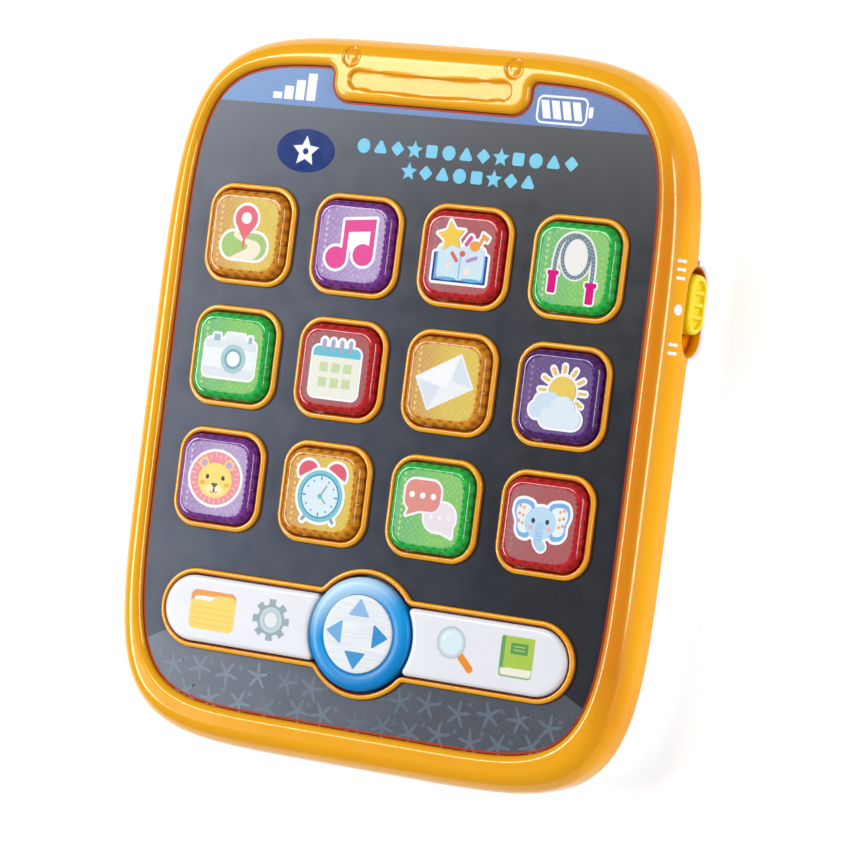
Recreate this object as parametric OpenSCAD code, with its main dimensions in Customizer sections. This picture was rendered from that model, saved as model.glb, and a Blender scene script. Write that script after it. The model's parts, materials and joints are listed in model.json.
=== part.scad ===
// Toy tablet for a small child, lying on its back with the keys facing up.
// +X is to the right, +Y is towards the top edge, +Z comes out of the face.
// The origin is the centre of the outline, on the surface that the back rests on.

/* [Case] */
// Width of the case across its widest line
case_w = 185; // [184:1:190]
// Height of the case from bottom edge to top edge
case_h = 227.8; // [226:0.2:232]
// Distance from the back to the face
case_d = 28; // [28:0.5:32]
// How far the rolled rim stands above the face
rim_rise = 2.2; // [1.6:0.1:2.8]
// Distance from the face down to the seam between housing and rear cover
seam_drop = 12.3; // [12:0.1:13]

/* [Face] */
// Width of the dark face inside the rim
face_w = 166.8; // [166:0.2:168]
// Height of the face above the centre of the button grid
face_up = 94.4; // [94:0.1:95]
// Depth of the face below the centre of the button grid
face_down = 110.8; // [110:0.1:112]
// Thickness of the face plate
plate_t = 1.4; // [1.2:0.1:1.6]
// Height of the centre of the button grid above the centre of the case
grid_y = 9.2; // [9:0.1:9.4]

/* [App buttons] */
// Distance between neighbouring buttons
pitch = 39; // [38:0.5:40]
// Outer side of the collar around a button
collar_w = 32.1; // [31:0.1:33]
// Corner radius of the collar
collar_r = 8.5; // [7.5:0.5:9]
// Width of a collar's rim
collar_t = 2; // [1.8:0.1:2.2]
// Height of the collars above the face
collar_rise = 1.4; // [1:0.1:1.8]
// Height of a button's top above the face
cap_rise = 4; // [3.5:0.1:4.5]
// Side of the flat top of a button
cap_top_w = 23.4; // [22:0.2:24.4]
// How far a button travels when it is pressed
cap_travel = 1.6; // [1.2:0.1:1.6]

/* [Control bar] */
// Outer length of the collar around the two long keys
bar_w = 148.4; // [148:0.2:150]
// Outer height of that collar
bar_h = 25.3; // [25:0.1:25.6]
// Distance of the bar's centre line below the centre of the button grid
bar_drop = 80.5; // [80:0.1:81]
// Outer radius of the round collar in the middle
pad_collar_r = 20.3; // [20:0.1:20.5]
// Radius of the blue direction ring
pad_r = 17.7; // [17.5:0.1:17.8]
// Radius of the disc with the arrows
disc_r = 12.2; // [11.8:0.1:12.6]
// Height of the long keys above the face
key_rise = 2.6; // [2.3:0.1:2.7]

/* [Side sliders] */
// Height of the sliders' openings above the centre of the button grid
slider_y = 30.2; // [29:0.2:31]
// Length of a slider's opening along the side
slot_l = 27.5; // [27:0.1:28]
// Width of a slider's opening
slot_w = 13; // [12.8:0.1:13.2]
// Length of a slider's knob
knob_l = 18.4; // [18:0.1:18.6]
// Travel of a slider
slider_travel = 6; // [5:0.5:6]

/* [Battery bay] */
// Length of one cell without its nub
cell_l = 43.7; // [43.3:0.1:43.9]
// Diameter of one cell
cell_d = 10.5; // [10:0.1:10.6]
// Height of the bay's centre above the centre of the case
bay_y = -20; // [-22:1:-18]

/* [Hidden] */

// Tessellation
$fn = 40;
outline_steps = 72;
hull_fn = 32;
slit = 0.01;
cut = 1;

// Shape of the two outlines: exponents of the superellipses above and below the widest line
outer_pow_top = 5.1;
outer_pow_low = 5.7;
face_pow_top = 6.3;
face_pow_low = 6.7;

// Levels, from the back up
face_z = case_d;
seam_z = face_z - seam_drop;
deck_top = face_z - plate_t;
deck_t = 2;
deck_z = deck_top - deck_t;
flange_t = 1.2;
flange_gap = 0.1;
cap_flange_z = deck_z - flange_gap - flange_t;
key_flange_z = deck_z - 2.8;
plunger_z = deck_z - 2.55;
dome_top = plunger_z - 0.05;
board_top = face_z - 9.4;
board_t = 1.6;
board_z = board_top - board_t;
sheet_t = 0.8;
sheet_top = board_top + sheet_t;

// Clearances
run_gap = 0.4;
pin_gap = 0.05;
lay_gap = 0.15;

// App buttons
columns = 4;
rows = 3;
cap_w = collar_w - 2 * collar_t - 2 * run_gap;
cap_r = collar_r - collar_t - run_gap;
cap_skin = 1.6;
cap_lip = 1.9;
plunger_r = 2.2;
plunger_x = 8;
dome_r = 4;

// Control bar
bar_y = grid_y - bar_drop;
bar_t = 1.8;
key_half = bar_w / 2 - bar_t - 0.45;
key_h = bar_h - 2 * bar_t - 2 * run_gap;
key_axis_x = 45;
key_axis_z = sheet_top + 1.6;
key_ridge_r = 1.5;
key_dome_x = 18;
pad_hole_r = pad_collar_r - 1.9;
pad_pivot_z = face_z - 4.5;
pad_ball_r = 2.2;
pad_rise = 2.3;
disc_rise = 3.9;
disc_rest = face_z + 1.6;
stem_r = 3.6;
pad_dome_x = 7;

// Raised pad at the top edge, its long groove and the two dimples in the rim
notch_w = 70;
notch_y = grid_y + 83.7;
notch_r = 6;
notch_rise = 2;
groove_w = 52;
groove_h = 6;
groove_y = grid_y + 90;
groove_bend = 490;
groove_depth = 1;
dimple_x = 29;
dimple_y = grid_y + 97.8;
dimple_r = 3.2;

// Case walls
housing_bosses = [[75.5, 62], [76, -19.5], [60, -101.5]];
boss_r = 3.8;
boss_low = 8.2;
screw_r = 1.45;
well_r = 3.1;
well_top = 5;

// Side sliders
wall_x = case_w / 2;
slot_z = face_z - 13.5;
tongue_x = wall_x - 5.3;
tongue_t = 1.6;
tongue_lap = 1.2;
knob_out = 0.8;
sleeve_t = 0.35;
sleeve_gap = 0.05;
sleeve_back = 0.6;
knob_w = 11.3;
knob_r = 5;
knob_y = grid_y + slider_y + 2.3;
stem_l = 6;
stem_w = 3;
lever_x = tongue_x - 5;

// Battery bay
cell_pitch = 11.1;
cell_z = 7.9;
bay_w = 54;
bay_h = 35;
bay_top = 14;
door_w = 60;
door_h = 50;
door_t = 1.8;
door_lift = 0.3;
door_drop = 6;
door_screw_y = bay_y - door_drop - 18.5;
door_screw_r = 1.25;
door_head_r = 2.4;
insert_r = 2.2;

// Speaker
speaker_y = grid_y + 55;
speaker_r = 20;
magnet_r = 10.4;
clamp_t = 1.2;
ear_screw_r = 1;
grille_r = 1.2;
grille_step = 5;
floor_t = 2.2;

// Board
board_half = 70;
board_low = grid_y - 94;
board_high = grid_y + 60;
board_posts = [[39, 19.5], [39, -19.5], [39, -60]];
post_r = 2.6;
small_screw_r = 1;

// Wires
wire_r = 0.6;

// ---- outlines ----
function spow(v, e) = sign(v) * pow(abs(v), e);

function oval(k, half, up, down, mid, p_up, p_down) =
    let (p = sin(k) >= 0 ? p_up : p_down, reach = sin(k) >= 0 ? up : down)
    [half * spow(cos(k), 2 / p), mid + reach * spow(sin(k), 2 / p)];

function outer_pt(k) = oval(k, case_w / 2, case_h / 2, case_h / 2, 0, outer_pow_top, outer_pow_low);

function face_pt(k) = oval(k, face_w / 2, face_up, face_down, grid_y, face_pow_top, face_pow_low);

// s is 0 on the case's edge and 1 on the edge of the face
function ring(s) = [
    for (i = [0 : outline_steps - 1])
    let (k = 360 * i / outline_steps)
    outer_pt(k) * (1 - s) + face_pt(k) * s
];

// Skin through rings at [s, z]; it is closed on itself, or capped at both ends
module loft(path, closed) {
    n = outline_steps;
    m = len(path);
    points = [for (p = path) for (q = ring(p[0])) [q[0], q[1], p[1]]];
    skin = [
        for (i = [0 : closed ? m - 1 : m - 2])
        for (j = [0 : n - 1])
        let (a = i * n + j, b = i * n + (j + 1) % n, next = (i + 1) % m * n)
        for (f = [[a, next + j, next + (j + 1) % n], [a, next + (j + 1) % n, b]]) f
    ];
    first_cap = [for (j = [0 : n - 1]) j];
    last_cap = [for (j = [0 : n - 1]) m * n - 1 - j];
    polyhedron(points, closed ? skin : concat(skin, [first_cap, last_cap]));
}

module slab(z0, z1) {
    translate([0, 0, z0]) linear_extrude(z1 - z0) children();
}

module soft_square(w, h, r) {
    offset(r = r) square([w - 2 * r, h - 2 * r], center = true);
}

module stadium(w, h) {
    soft_square(w, h, h / 2 - slit);
}

module both_sides() {
    children();
    mirror([1, 0, 0]) children();
}

module at_buttons() {
    for (row = [0 : rows - 1])
        for (column = [0 : columns - 1])
            translate(button_place(column, row)) children();
}

function button_place(column, row) =
    [(column - (columns - 1) / 2) * pitch, grid_y + ((rows - 1) / 2 - row) * pitch, 0];

// ---- openings shared by the housing and the face plate ----
module bar_collar_outline() {
    translate([0, bar_y])
        offset(r = -2) offset(r = 2) {
            stadium(bar_w, bar_h);
            circle(pad_collar_r);
        }
}

module bar_opening_outline() {
    translate([0, bar_y]) {
        stadium(bar_w - 2 * bar_t, bar_h - 2 * bar_t);
        circle(pad_hole_r);
    }
}

// Raised pad in the middle of the top edge
module notch_outline() {
    intersection() {
        translate([0, notch_y + notch_w / 2]) soft_square(notch_w, notch_w, notch_r);
        polygon(ring(0.8));
    }
}

module groove_outline() {
    centre = groove_y + groove_bend;
    bend = asin(groove_w / 2 / groove_bend);
    steps = 8;
    top = [for (i = [-steps : steps]) let (a = bend * i / steps)
        [(groove_bend - groove_h / 2) * sin(a), centre - (groove_bend - groove_h / 2) * cos(a)]];
    low = [for (i = [steps : -1 : -steps]) let (a = bend * i / steps)
        [(groove_bend + groove_h / 2) * sin(a), centre - (groove_bend + groove_h / 2) * cos(a)]];
    polygon(concat(top, low));
    for (side = [-1, 1])
        translate([side * groove_w / 2, centre - groove_bend * cos(bend)]) circle(groove_h / 2);
}

// Opening of a side slider as a bar along X, grown by a margin
module slider_bar(x0, x1, grow) {
    translate([x0, grid_y + slider_y, slot_z])
        rotate([90, 0, 90])
            linear_extrude(x1 - x0) stadium(slot_l + 2 * grow, slot_w + 2 * grow);
}

module slider_slit() {
    slit_l = stem_l + slider_travel + 1;
    translate([tongue_x - cut, knob_y - (slider_travel + slit_l) / 2, slot_z - stem_w / 2 - run_gap])
        cube([tongue_t + 2 * cut, slit_l, stem_w + 2 * run_gap]);
}

// Orange floor of a slider's opening, hanging down from the rim
module slider_tongue(grow) {
    reach = slot_l / 2 + tongue_lap + grow;
    slider_bar(tongue_x - grow, tongue_x + tongue_t + grow, tongue_lap + grow);
    translate([tongue_x - grow, grid_y + slider_y - reach, slot_z])
        cube([tongue_t + 2 * grow, 2 * reach, face_z - 0.9 - slot_z]);
}

// ---- case ----
module front_housing() {
    rim = [
        [0, seam_z], [0, face_z - 6.5], [0.027, face_z - 4], [0.1, face_z - 1.8], [0.22, face_z + 0.1],
        [0.37, face_z + 0.6 * rim_rise], [0.55, face_z + 0.95 * rim_rise], [0.72, face_z + rim_rise],
        [0.86, face_z + 0.7 * rim_rise], [0.945, face_z + 0.3 * rim_rise], [1, face_z - 0.5],
        [1, deck_z], [0.8, deck_z], [0.74, face_z - 0.5], [0.55, face_z - 0.4],
        [0.4, face_z - 1.2], [0.3, face_z - 4], [0.26, face_z - 6.5], [0.26, seam_z]
    ];
    color("orange")
    difference() {
        union() {
            loft(rim, true);
            slab(deck_z, deck_top) difference() {
                polygon(ring(0.93));
                at_buttons() soft_square(cap_w + 2 * run_gap, cap_w + 2 * run_gap, cap_r + run_gap);
                bar_opening_outline();
            }
            slab(deck_top - 0.2, face_z + collar_rise) {
                at_buttons() difference() {
                    soft_square(collar_w, collar_w, collar_r);
                    soft_square(cap_w + 2 * run_gap, cap_w + 2 * run_gap, cap_r + run_gap);
                }
                difference() {
                    bar_collar_outline();
                    bar_opening_outline();
                }
            }
            slab(deck_top - 0.2, face_z + notch_rise) notch_outline();
            both_sides() for (b = housing_bosses)
                translate([b[0], grid_y + b[1], boss_low]) cylinder(r = boss_r, h = deck_z + 0.5 - boss_low);
            both_sides() for (b = board_posts)
                translate([b[0], grid_y + b[1], board_top]) cylinder(r = post_r, h = deck_z + 0.5 - board_top);
            both_sides() slider_tongue(0);
            both_sides() slider_bar(tongue_x, wall_x - sleeve_back, -sleeve_gap);
        }
        both_sides() for (b = housing_bosses)
            translate([b[0], grid_y + b[1], boss_low - cut]) cylinder(r = screw_r + pin_gap, h = 14);
        both_sides() for (b = board_posts)
            translate([b[0], grid_y + b[1], board_top - cut]) cylinder(r = small_screw_r + pin_gap, h = 5.5);
        both_sides() slider_bar(tongue_x + tongue_t, wall_x + cut, -sleeve_t);
        both_sides() slider_slit();
        slab(face_z + notch_rise - groove_depth, face_z + notch_rise + cut) groove_outline();
        both_sides() translate([dimple_x, dimple_y, face_z + rim_rise - 0.6]) cylinder(r = dimple_r, h = 2);
    }
}

module faceplate() {
    color("dimgray")
    slab(deck_top, face_z) difference() {
        polygon(ring(1.02));
        at_buttons() soft_square(collar_w + 2 * lay_gap, collar_w + 2 * lay_gap, collar_r + lay_gap);
        offset(delta = lay_gap) bar_collar_outline();
        offset(delta = lay_gap) notch_outline();
    }
}

module rear_cover() {
    bowl = [
        [2.2, 0], [1.65, 0.45], [1.15, 1.8], [0.72, 4.2], [0.4, 7.2], [0.18, 10.4], [0.06, 13.4],
        [0.04, seam_z - 0.02], [0.3, seam_z - 0.02], [0.3, seam_z + 2.4], [0.42, seam_z + 2.4],
        [0.42, 13.2], [0.56, 9.8], [0.78, 6.9], [1.1, 4.4], [1.5, 2.8], [2.15, floor_t]
    ];
    color("white")
    difference() {
        union() {
            loft(bowl, false);
            both_sides() for (b = housing_bosses)
                translate([b[0], grid_y + b[1], 2]) cylinder(r = boss_r + 0.7, h = boss_low - 2.1);
            translate([0, bay_y - door_drop / 2, 0])
                slab(0, bay_top + 1.2) square([door_w + 4, door_h + 4], center = true);
            both_sides() intersection() {
                slider_bar(tongue_x + 0.3, wall_x, 2);
                translate([0, -case_h / 2, 0]) cube([wall_x, case_h, seam_z - 0.1]);
            }
            translate([0, speaker_y, floor_t - 0.2]) difference() {
                cylinder(r = speaker_r + 2, h = 3);
                translate([0, 0, -cut]) cylinder(r = speaker_r + 0.4, h = 6);
            }
            at_speaker_ears(floor_t - 0.3) cylinder(r = 2.6, h = 3.05);
        }
        both_sides() for (b = housing_bosses)
            translate([b[0], grid_y + b[1], -cut]) {
                cylinder(r = screw_r + 0.3, h = boss_low + 2 * cut);
                cylinder(r = well_r, h = well_top + cut);
            }
        translate([0, bay_y - door_drop / 2, 0]) slab(-cut, door_lift + door_t)
            soft_square(door_w + 0.6, door_h + 0.6, 4.3);
        translate([0, bay_y, 0]) slab(0, bay_top) square([bay_w, bay_h], center = true);
        translate([0, door_screw_y, 0]) cylinder(r = insert_r, h = 9);
        both_sides() slider_bar(tongue_x - cut, wall_x + cut, 0);
        both_sides() slider_tongue(0.25);
        at_speaker_ears(floor_t + 0.2) cylinder(r = ear_screw_r, h = 4);
        translate([0, speaker_y, -cut]) {
            cylinder(r = grille_r, h = 2 * floor_t);
            for (lap = [1 : 3]) for (i = [0 : 6 * lap - 1])
                rotate(60 * i / lap) translate([lap * grille_step, 0, 0])
                    cylinder(r = grille_r, h = 2 * floor_t);
        }
    }
}

// ---- app buttons ----
module cap_outline(inset) {
    soft_square(cap_w - 2 * inset, cap_w - 2 * inset, cap_r - 0.8 * inset, $fn = hull_fn);
}

module app_button(column, row, tint) {
    bevel_z = face_z + 1.7;
    top_z = face_z + cap_rise;
    translate(button_place(column, row)) color(tint)
    difference() {
        union() {
            slab(cap_flange_z, cap_flange_z + flange_t)
                soft_square(cap_w + 2 * cap_lip, cap_w + 2 * cap_lip, cap_r + cap_lip);
            slab(cap_flange_z, bevel_z) soft_square(cap_w, cap_w, cap_r);
            hull() {
                slab(bevel_z - 0.1, bevel_z) cap_outline(0);
                slab(top_z - 1, top_z - 0.9) cap_outline(0.9);
                slab(top_z - 0.1, top_z) cap_outline((cap_w - cap_top_w) / 2);
            }
        }
        slab(cap_flange_z - cut, top_z - 1.3 * cap_skin)
            soft_square(cap_w - 2 * cap_skin, cap_w - 2 * cap_skin, cap_r - cap_skin);
    }
    translate(button_place(column, row)) color(tint)
        both_sides() translate([plunger_x, 0, plunger_z])
            cylinder(r = plunger_r, h = top_z - cap_skin - plunger_z);
}

module map_button() { app_button(0, 0, "gold"); }
module music_button() { app_button(1, 0, "mediumpurple"); }
module story_button() { app_button(2, 0, "crimson"); }
module rope_button() { app_button(3, 0, "seagreen"); }
module camera_button() { app_button(0, 1, "seagreen"); }
module calendar_button() { app_button(1, 1, "crimson"); }
module mail_button() { app_button(2, 1, "gold"); }
module weather_button() { app_button(3, 1, "rebeccapurple"); }
module lion_button() { app_button(0, 2, "mediumpurple"); }
module alarm_button() { app_button(1, 2, "gold"); }
module chat_button() { app_button(2, 2, "seagreen"); }
module elephant_button() { app_button(3, 2, "crimson"); }

// ---- control bar ----
// Outline of a long key, with its inner end hollowed round the direction pad
module key_outline(grow, hollow_r) {
    intersection() {
        translate([0, -case_h]) square([case_w, 2 * case_h]);
        difference() {
            stadium(2 * key_half + 2 * grow, key_h + 2 * grow);
            circle(hollow_r);
        }
    }
}

// Long rocker key on the right of the direction pad; it turns on the ridge under its middle
module right_key() {
    body_z = key_flange_z + flange_t;
    nose_z = deck_z + 1.2;
    nose_r = pad_r + 0.85;
    low_r = pad_r + 2.9;
    ridge_l = key_h - 3;
    color("white") translate([0, bar_y, 0]) {
        difference() {
            union() {
                slab(key_flange_z, body_z) key_outline(1.1, low_r);
                slab(body_z - 0.2, nose_z + 0.2) key_outline(0, low_r);
                slab(nose_z, face_z + key_rise - 0.7) key_outline(0, nose_r);
                slab(face_z + key_rise - 0.8, face_z + key_rise)
                    offset(delta = -0.6) key_outline(0, nose_r);
            }
            slab(key_flange_z - cut, face_z + key_rise - 2) offset(delta = -1.6) key_outline(0, low_r);
        }
        translate([key_axis_x, 0, key_axis_z]) {
            rotate([90, 0, 0]) cylinder(r = key_ridge_r, h = ridge_l, center = true);
            translate([-0.8, -ridge_l / 2, 0]) cube([1.6, ridge_l, face_z + key_rise - 1.8 - key_axis_z]);
        }
        for (side = [-1, 1])
            translate([key_axis_x + side * key_dome_x, 0, plunger_z])
                cylinder(r = plunger_r, h = face_z + key_rise - 1.8 - plunger_z);
    }
}

module left_key() { mirror([1, 0, 0]) right_key(); }

module dpad_ring() {
    skirt_z = key_flange_z + 0.8;
    color("steelblue") translate([0, bar_y, 0])
    rotate_extrude() polygon([
        [disc_r - 3, skirt_z - 0.8], [pad_r + 1.9, skirt_z - 0.8], [pad_r + 1.9, skirt_z + 0.2],
        [pad_r, skirt_z + 0.2], [pad_r, face_z + pad_rise - 0.5], [pad_r - 0.3, face_z + pad_rise + 0.3],
        [pad_r - 1.1, face_z + pad_rise + 0.95], [pad_r - 2.3, face_z + pad_rise + 1.25],
        [pad_r - 4, face_z + pad_rise + 1.2], [disc_r + 0.1, face_z + pad_rise + 0.9],
        [disc_r + 0.1, disc_rest], [disc_r - 3, disc_rest]
    ]);
}

module dpad_disc() {
    color("gainsboro") translate([0, bar_y, 0])
    difference() {
        union() {
            rotate_extrude() polygon([
                [0, disc_rest], [disc_r, disc_rest], [disc_r, face_z + disc_rise - 0.3],
                [disc_r - 0.3, face_z + disc_rise], [0, face_z + disc_rise]
            ]);
            translate([0, 0, pad_pivot_z]) cylinder(r = stem_r, h = disc_rest + 0.1 - pad_pivot_z);
            for (i = [0 : 3]) rotate(90 * i) translate([pad_dome_x, 0, plunger_z + 1.6])
                cylinder(r = 1.6, h = disc_rest + 0.1 - plunger_z - 1.6);
        }
        translate([0, 0, pad_pivot_z]) sphere(pad_ball_r + pin_gap);
    }
}

module dpad_pivot_ball() {
    color("silver") translate([0, bar_y, pad_pivot_z]) sphere(pad_ball_r);
}

module dpad_post() {
    color("white") translate([0, bar_y, board_top])
    difference() {
        cylinder(r = 3.2, h = pad_pivot_z - 1 - board_top);
        translate([0, 0, pad_pivot_z - board_top]) sphere(pad_ball_r + pin_gap);
    }
}

// ---- side sliders ----
module language_slider() {
    knob_x0 = tongue_x + tongue_t + 0.2;
    knob_x1 = wall_x + knob_out;
    rib_t = 1.3;
    color("gold") translate([0, knob_y, slot_z])
    union() {
        difference() {
            translate([knob_x0, 0, 0]) rotate([90, 0, 90])
                linear_extrude(knob_x1 - knob_x0) soft_square(knob_l, knob_w, knob_r);
            translate([knob_x1 - 1.2, 0, -0.6]) rotate([90, 0, 90])
                linear_extrude(2 * cut) soft_square(knob_l - 3.8, knob_w - 5, 3);
        }
        for (i = [-1 : 1])
            translate([knob_x1 - 1.5, i * 3.7 - rib_t / 2, -knob_w / 2 + 1.4])
                cube([1.1, rib_t, knob_w - 4]);
        translate([tongue_x - 2.5, -stem_l / 2, -stem_w / 2]) cube([tongue_t + 3, stem_l, stem_w]);
        translate([tongue_x - 2, -5, -3]) cube([1.7, 10, 6]);
    }
}

module volume_slider() { mirror([1, 0, 0]) language_slider(); }

module language_switch_lever() {
    color("black") translate([lever_x - 1.5, knob_y - 1.5, slot_z - 1]) cube([4, 3, 2]);
}

module volume_switch_lever() { mirror([1, 0, 0]) language_switch_lever(); }

module language_switch() {
    can_l = 18;
    can_h = 6;
    color("silver") translate([lever_x - 7, knob_y - slider_travel / 2 - can_l / 2, slot_z - can_h / 2])
    difference() {
        cube([6, can_l, can_h]);
        translate([5, can_l / 2 - 4.9, can_h / 2 - 1.3]) cube([2, 9.8, 2.6]);
    }
}

module volume_switch() { mirror([1, 0, 0]) language_switch(); }

// ---- keypad and board ----
function dome_places() = concat(
    [for (row = [0 : rows - 1]) for (column = [0 : columns - 1]) for (side = [-1, 1])
        button_place(column, row) + [side * plunger_x, 0, 0]],
    [for (half = [-1, 1]) for (side = [-1, 1]) [half * key_axis_x + side * key_dome_x, bar_y, 0]]
);

pad_dome_places = [
    for (i = [0 : 3]) [pad_dome_x * cos(90 * i), bar_y + pad_dome_x * sin(90 * i), 0]
];

module board_outline(grow) {
    translate([0, (board_low + board_high) / 2])
        soft_square(2 * board_half + 2 * grow, board_high - board_low + 2 * grow, 4);
}

module board_holes(r) {
    both_sides() for (b = board_posts) translate([b[0], grid_y + b[1]]) circle(r);
}

module keypad_sheet() {
    color("whitesmoke") slab(board_top, sheet_top) difference() {
        board_outline(-2);
        board_holes(post_r + 0.3);
        at_buttons() circle(2.6);
        translate([0, bar_y]) circle(stem_r);
    }
}

module contact_domes() {
    h = dome_top - sheet_top;
    color("whitesmoke") {
        for (p = dome_places()) translate([p[0], p[1], sheet_top])
            rotate_extrude() polygon([
                [0, h - 0.8], [dome_r - 1.7, h - 0.8], [dome_r - 0.6, 0],
                [dome_r, 0], [dome_r - 1.1, h], [0, h]
            ]);
        for (p = pad_dome_places) translate([p[0], p[1], sheet_top])
            cylinder(r = 1.8, h = plunger_z + 1.55 - sheet_top);
    }
}

module main_board() {
    color("darkgreen") slab(board_z, board_top) difference() {
        board_outline(0);
        board_holes(small_screw_r + 0.2);
    }
}

module board_screws() {
    color("silver") both_sides() for (b = board_posts)
        translate([b[0], grid_y + b[1], board_z]) {
            cylinder(r = small_screw_r, h = 5.5);
            translate([0, 0, -1.3]) cylinder(r = 2 * small_screw_r, h = 1.3);
        }
}

module button_leds() {
    color("white") at_buttons() slab(board_top, board_top + 1.6) square([3.2, 2.8], center = true);
}

module sound_chip() {
    color("black") translate([-30, grid_y - 20, board_z]) rotate([180, 0, 0])
        rotate_extrude() polygon([[0, 0], [6.5, 0], [6, 0.9], [4.5, 1.5], [0, 1.7]]);
}

module board_parts() {
    color("dimgray") {
        for (i = [0 : 3]) translate([40 + 5 * i, grid_y + 34, board_z - 4.5]) cylinder(r = 1.9, h = 4.5);
        for (i = [0 : 5]) translate([-58 + 5 * i, grid_y - 40, board_z - 1]) cube([3, 1.6, 1]);
        translate([-60, grid_y + 30, board_z - 2.4]) cube([9, 4, 2.4]);
    }
}

// ---- speaker ----
module at_speaker_ears(z, y = speaker_y) {
    for (i = [0 : 2])
        translate([0, y, z]) rotate(120 * i + 90) translate([speaker_r + 4, 0, 0]) children();
}

module speaker_frame() {
    color("silver") translate([0, speaker_y, floor_t])
    rotate_extrude() polygon([
        [speaker_r - 3, 0], [speaker_r, 0], [speaker_r, 1.2], [speaker_r - 1.5, 1.2], [magnet_r, 6.2],
        [9.4, 6.2], [9.4, 5.2], [speaker_r - 3, 1.2]
    ]);
}

module speaker_cone() {
    color("black") translate([0, speaker_y, floor_t + 0.1])
    rotate_extrude() polygon([
        [0, 2.2], [4, 2], [6, 3.6], [speaker_r - 3.2, 0.2], [speaker_r - 3.2, 0.9], [6, 4.5], [0, 4.5]
    ]);
}

module speaker_magnet() {
    color("gray") translate([0, speaker_y, floor_t + 6.2]) cylinder(r = magnet_r, h = 5.4);
}

module speaker_ring() {
    color("ivory") translate([0, speaker_y, floor_t + 2.8])
    difference() {
        union() {
            cylinder(r = speaker_r + 2, h = clamp_t);
            at_speaker_ears(0, 0) cylinder(r = 2.8, h = clamp_t);
            difference() {
                translate([0, 0, -1.6]) cylinder(r = speaker_r, h = 1.7);
                translate([0, 0, -2 * cut]) cylinder(r = speaker_r - 1.2, h = 4);
            }
        }
        translate([0, 0, -cut]) cylinder(r = speaker_r - 2, h = 4);
        at_speaker_ears(-cut, 0) cylinder(r = ear_screw_r + 0.1, h = 4);
    }
}

module speaker_screws() {
    color("silver") at_speaker_ears(floor_t + 4) {
        cylinder(r = 1.9, h = 1.1);
        translate([0, 0, -3.6]) cylinder(r = ear_screw_r, h = 3.7);
    }
}

// ---- power ----
module batteries() {
    color("royalblue") for (i = [-1 : 1])
        translate([0, bay_y + i * cell_pitch, cell_z]) rotate([0, i % 2 == 0 ? 90 : -90, 0]) {
            cylinder(r = cell_d / 2, h = cell_l, center = true);
            cylinder(r = 1.9, h = cell_l / 2 + 0.8);
        }
}

module battery_springs() {
    color("silver") for (i = [-1 : 1])
        translate([i % 2 == 0 ? -1 : 1, 0, 0] * (cell_l / 2 + 0.1) + [0, bay_y + i * cell_pitch, cell_z])
            rotate([0, i % 2 == 0 ? -90 : 90, 0])
                for (turn = [0 : 4]) translate([0, 0, 0.45 + 0.9 * turn])
                    rotate_extrude() translate([2 + 0.25 * turn, 0]) circle(0.35, $fn = 16);
}

module battery_plates() {
    color("silver") for (side = [-1, 1]) for (i = [-1 : 1])
        translate([side * (bay_w / 2 - 0.25) - 0.25, bay_y + i * cell_pitch - 4.5, cell_z - 4.5])
            cube([0.5, 9, 9]);
}

module battery_door() {
    color("white") difference() {
        translate([0, bay_y - door_drop / 2, door_lift])
            slab(0, door_t) soft_square(door_w, door_h, 4);
        translate([0, door_screw_y, -cut]) cylinder(r = door_head_r + 0.2, h = door_lift + 1.2 + cut);
        translate([0, door_screw_y, 0]) cylinder(r = door_screw_r + 0.1, h = 5);
    }
}

module door_screw() {
    color("silver") translate([0, door_screw_y, 0]) {
        translate([0, 0, door_lift + 0.1]) cylinder(r = door_head_r, h = 1.1);
        translate([0, 0, door_lift + 1]) cylinder(r = door_screw_r, h = 7);
    }
}

module door_insert() {
    color("goldenrod") translate([0, door_screw_y, 3]) difference() {
        cylinder(r = insert_r, h = 5);
        translate([0, 0, -cut]) cylinder(r = door_screw_r + pin_gap, h = 7);
    }
}

module housing_screws() {
    color("silver") both_sides() for (b = housing_bosses) translate([b[0], grid_y + b[1], well_top]) {
        translate([0, 0, -1.8]) cylinder(r = 2.7, h = 1.8);
        cylinder(r = screw_r, h = 14);
    }
}

// ---- wires ----
function unit(v) = v / norm(v);

// Tube of eight sides along a list of points
module wire(path, r) {
    n = 8;
    m = len(path);
    points = [
        for (i = [0 : m - 1])
        let (
            along = unit(path[min(i + 1, m - 1)] - path[max(i - 1, 0)]),
            side = unit(cross(along, abs(along[2]) > 0.9 ? [1, 0, 0] : [0, 0, 1])),
            up = cross(side, along)
        )
        for (j = [0 : n - 1]) path[i] + r * (cos(360 * j / n) * side + sin(360 * j / n) * up)
    ];
    skin = [
        for (i = [0 : m - 2]) for (j = [0 : n - 1])
        let (a = i * n + j, b = i * n + (j + 1) % n)
        for (f = [[a, b, b + n], [a, b + n, a + n]]) f
    ];
    first_cap = [for (j = [n - 1 : -1 : 0]) j];
    last_cap = [for (j = [0 : n - 1]) (m - 1) * n + j];
    polyhedron(points, concat(skin, [first_cap, last_cap]));
}

// Slack loop from one point to another, rising by a given height in between
function hop(p, q, rise) = [
    for (i = [0 : 10]) let (t = i / 10) p * (1 - t) + q * t + [0, 0, rise * sin(180 * t)]
];

module speaker_wires() {
    color("firebrick") wire(hop([11.2, speaker_y - 3, 12], [24, speaker_y - 22, board_z - 0.7], 0.8), wire_r);
    color("black") wire(hop([11.2, speaker_y + 3, 12], [28, speaker_y - 18, board_z - 0.7], 0.8), wire_r);
}

module battery_wires() {
    color("firebrick") wire(hop([33, bay_y + 12, 8], [40, bay_y + 16, board_z - 0.7], 1), wire_r);
    color("black") wire(hop([33, bay_y - 12, 8], [40, bay_y - 16, board_z - 0.7], 1), wire_r);
}

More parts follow.
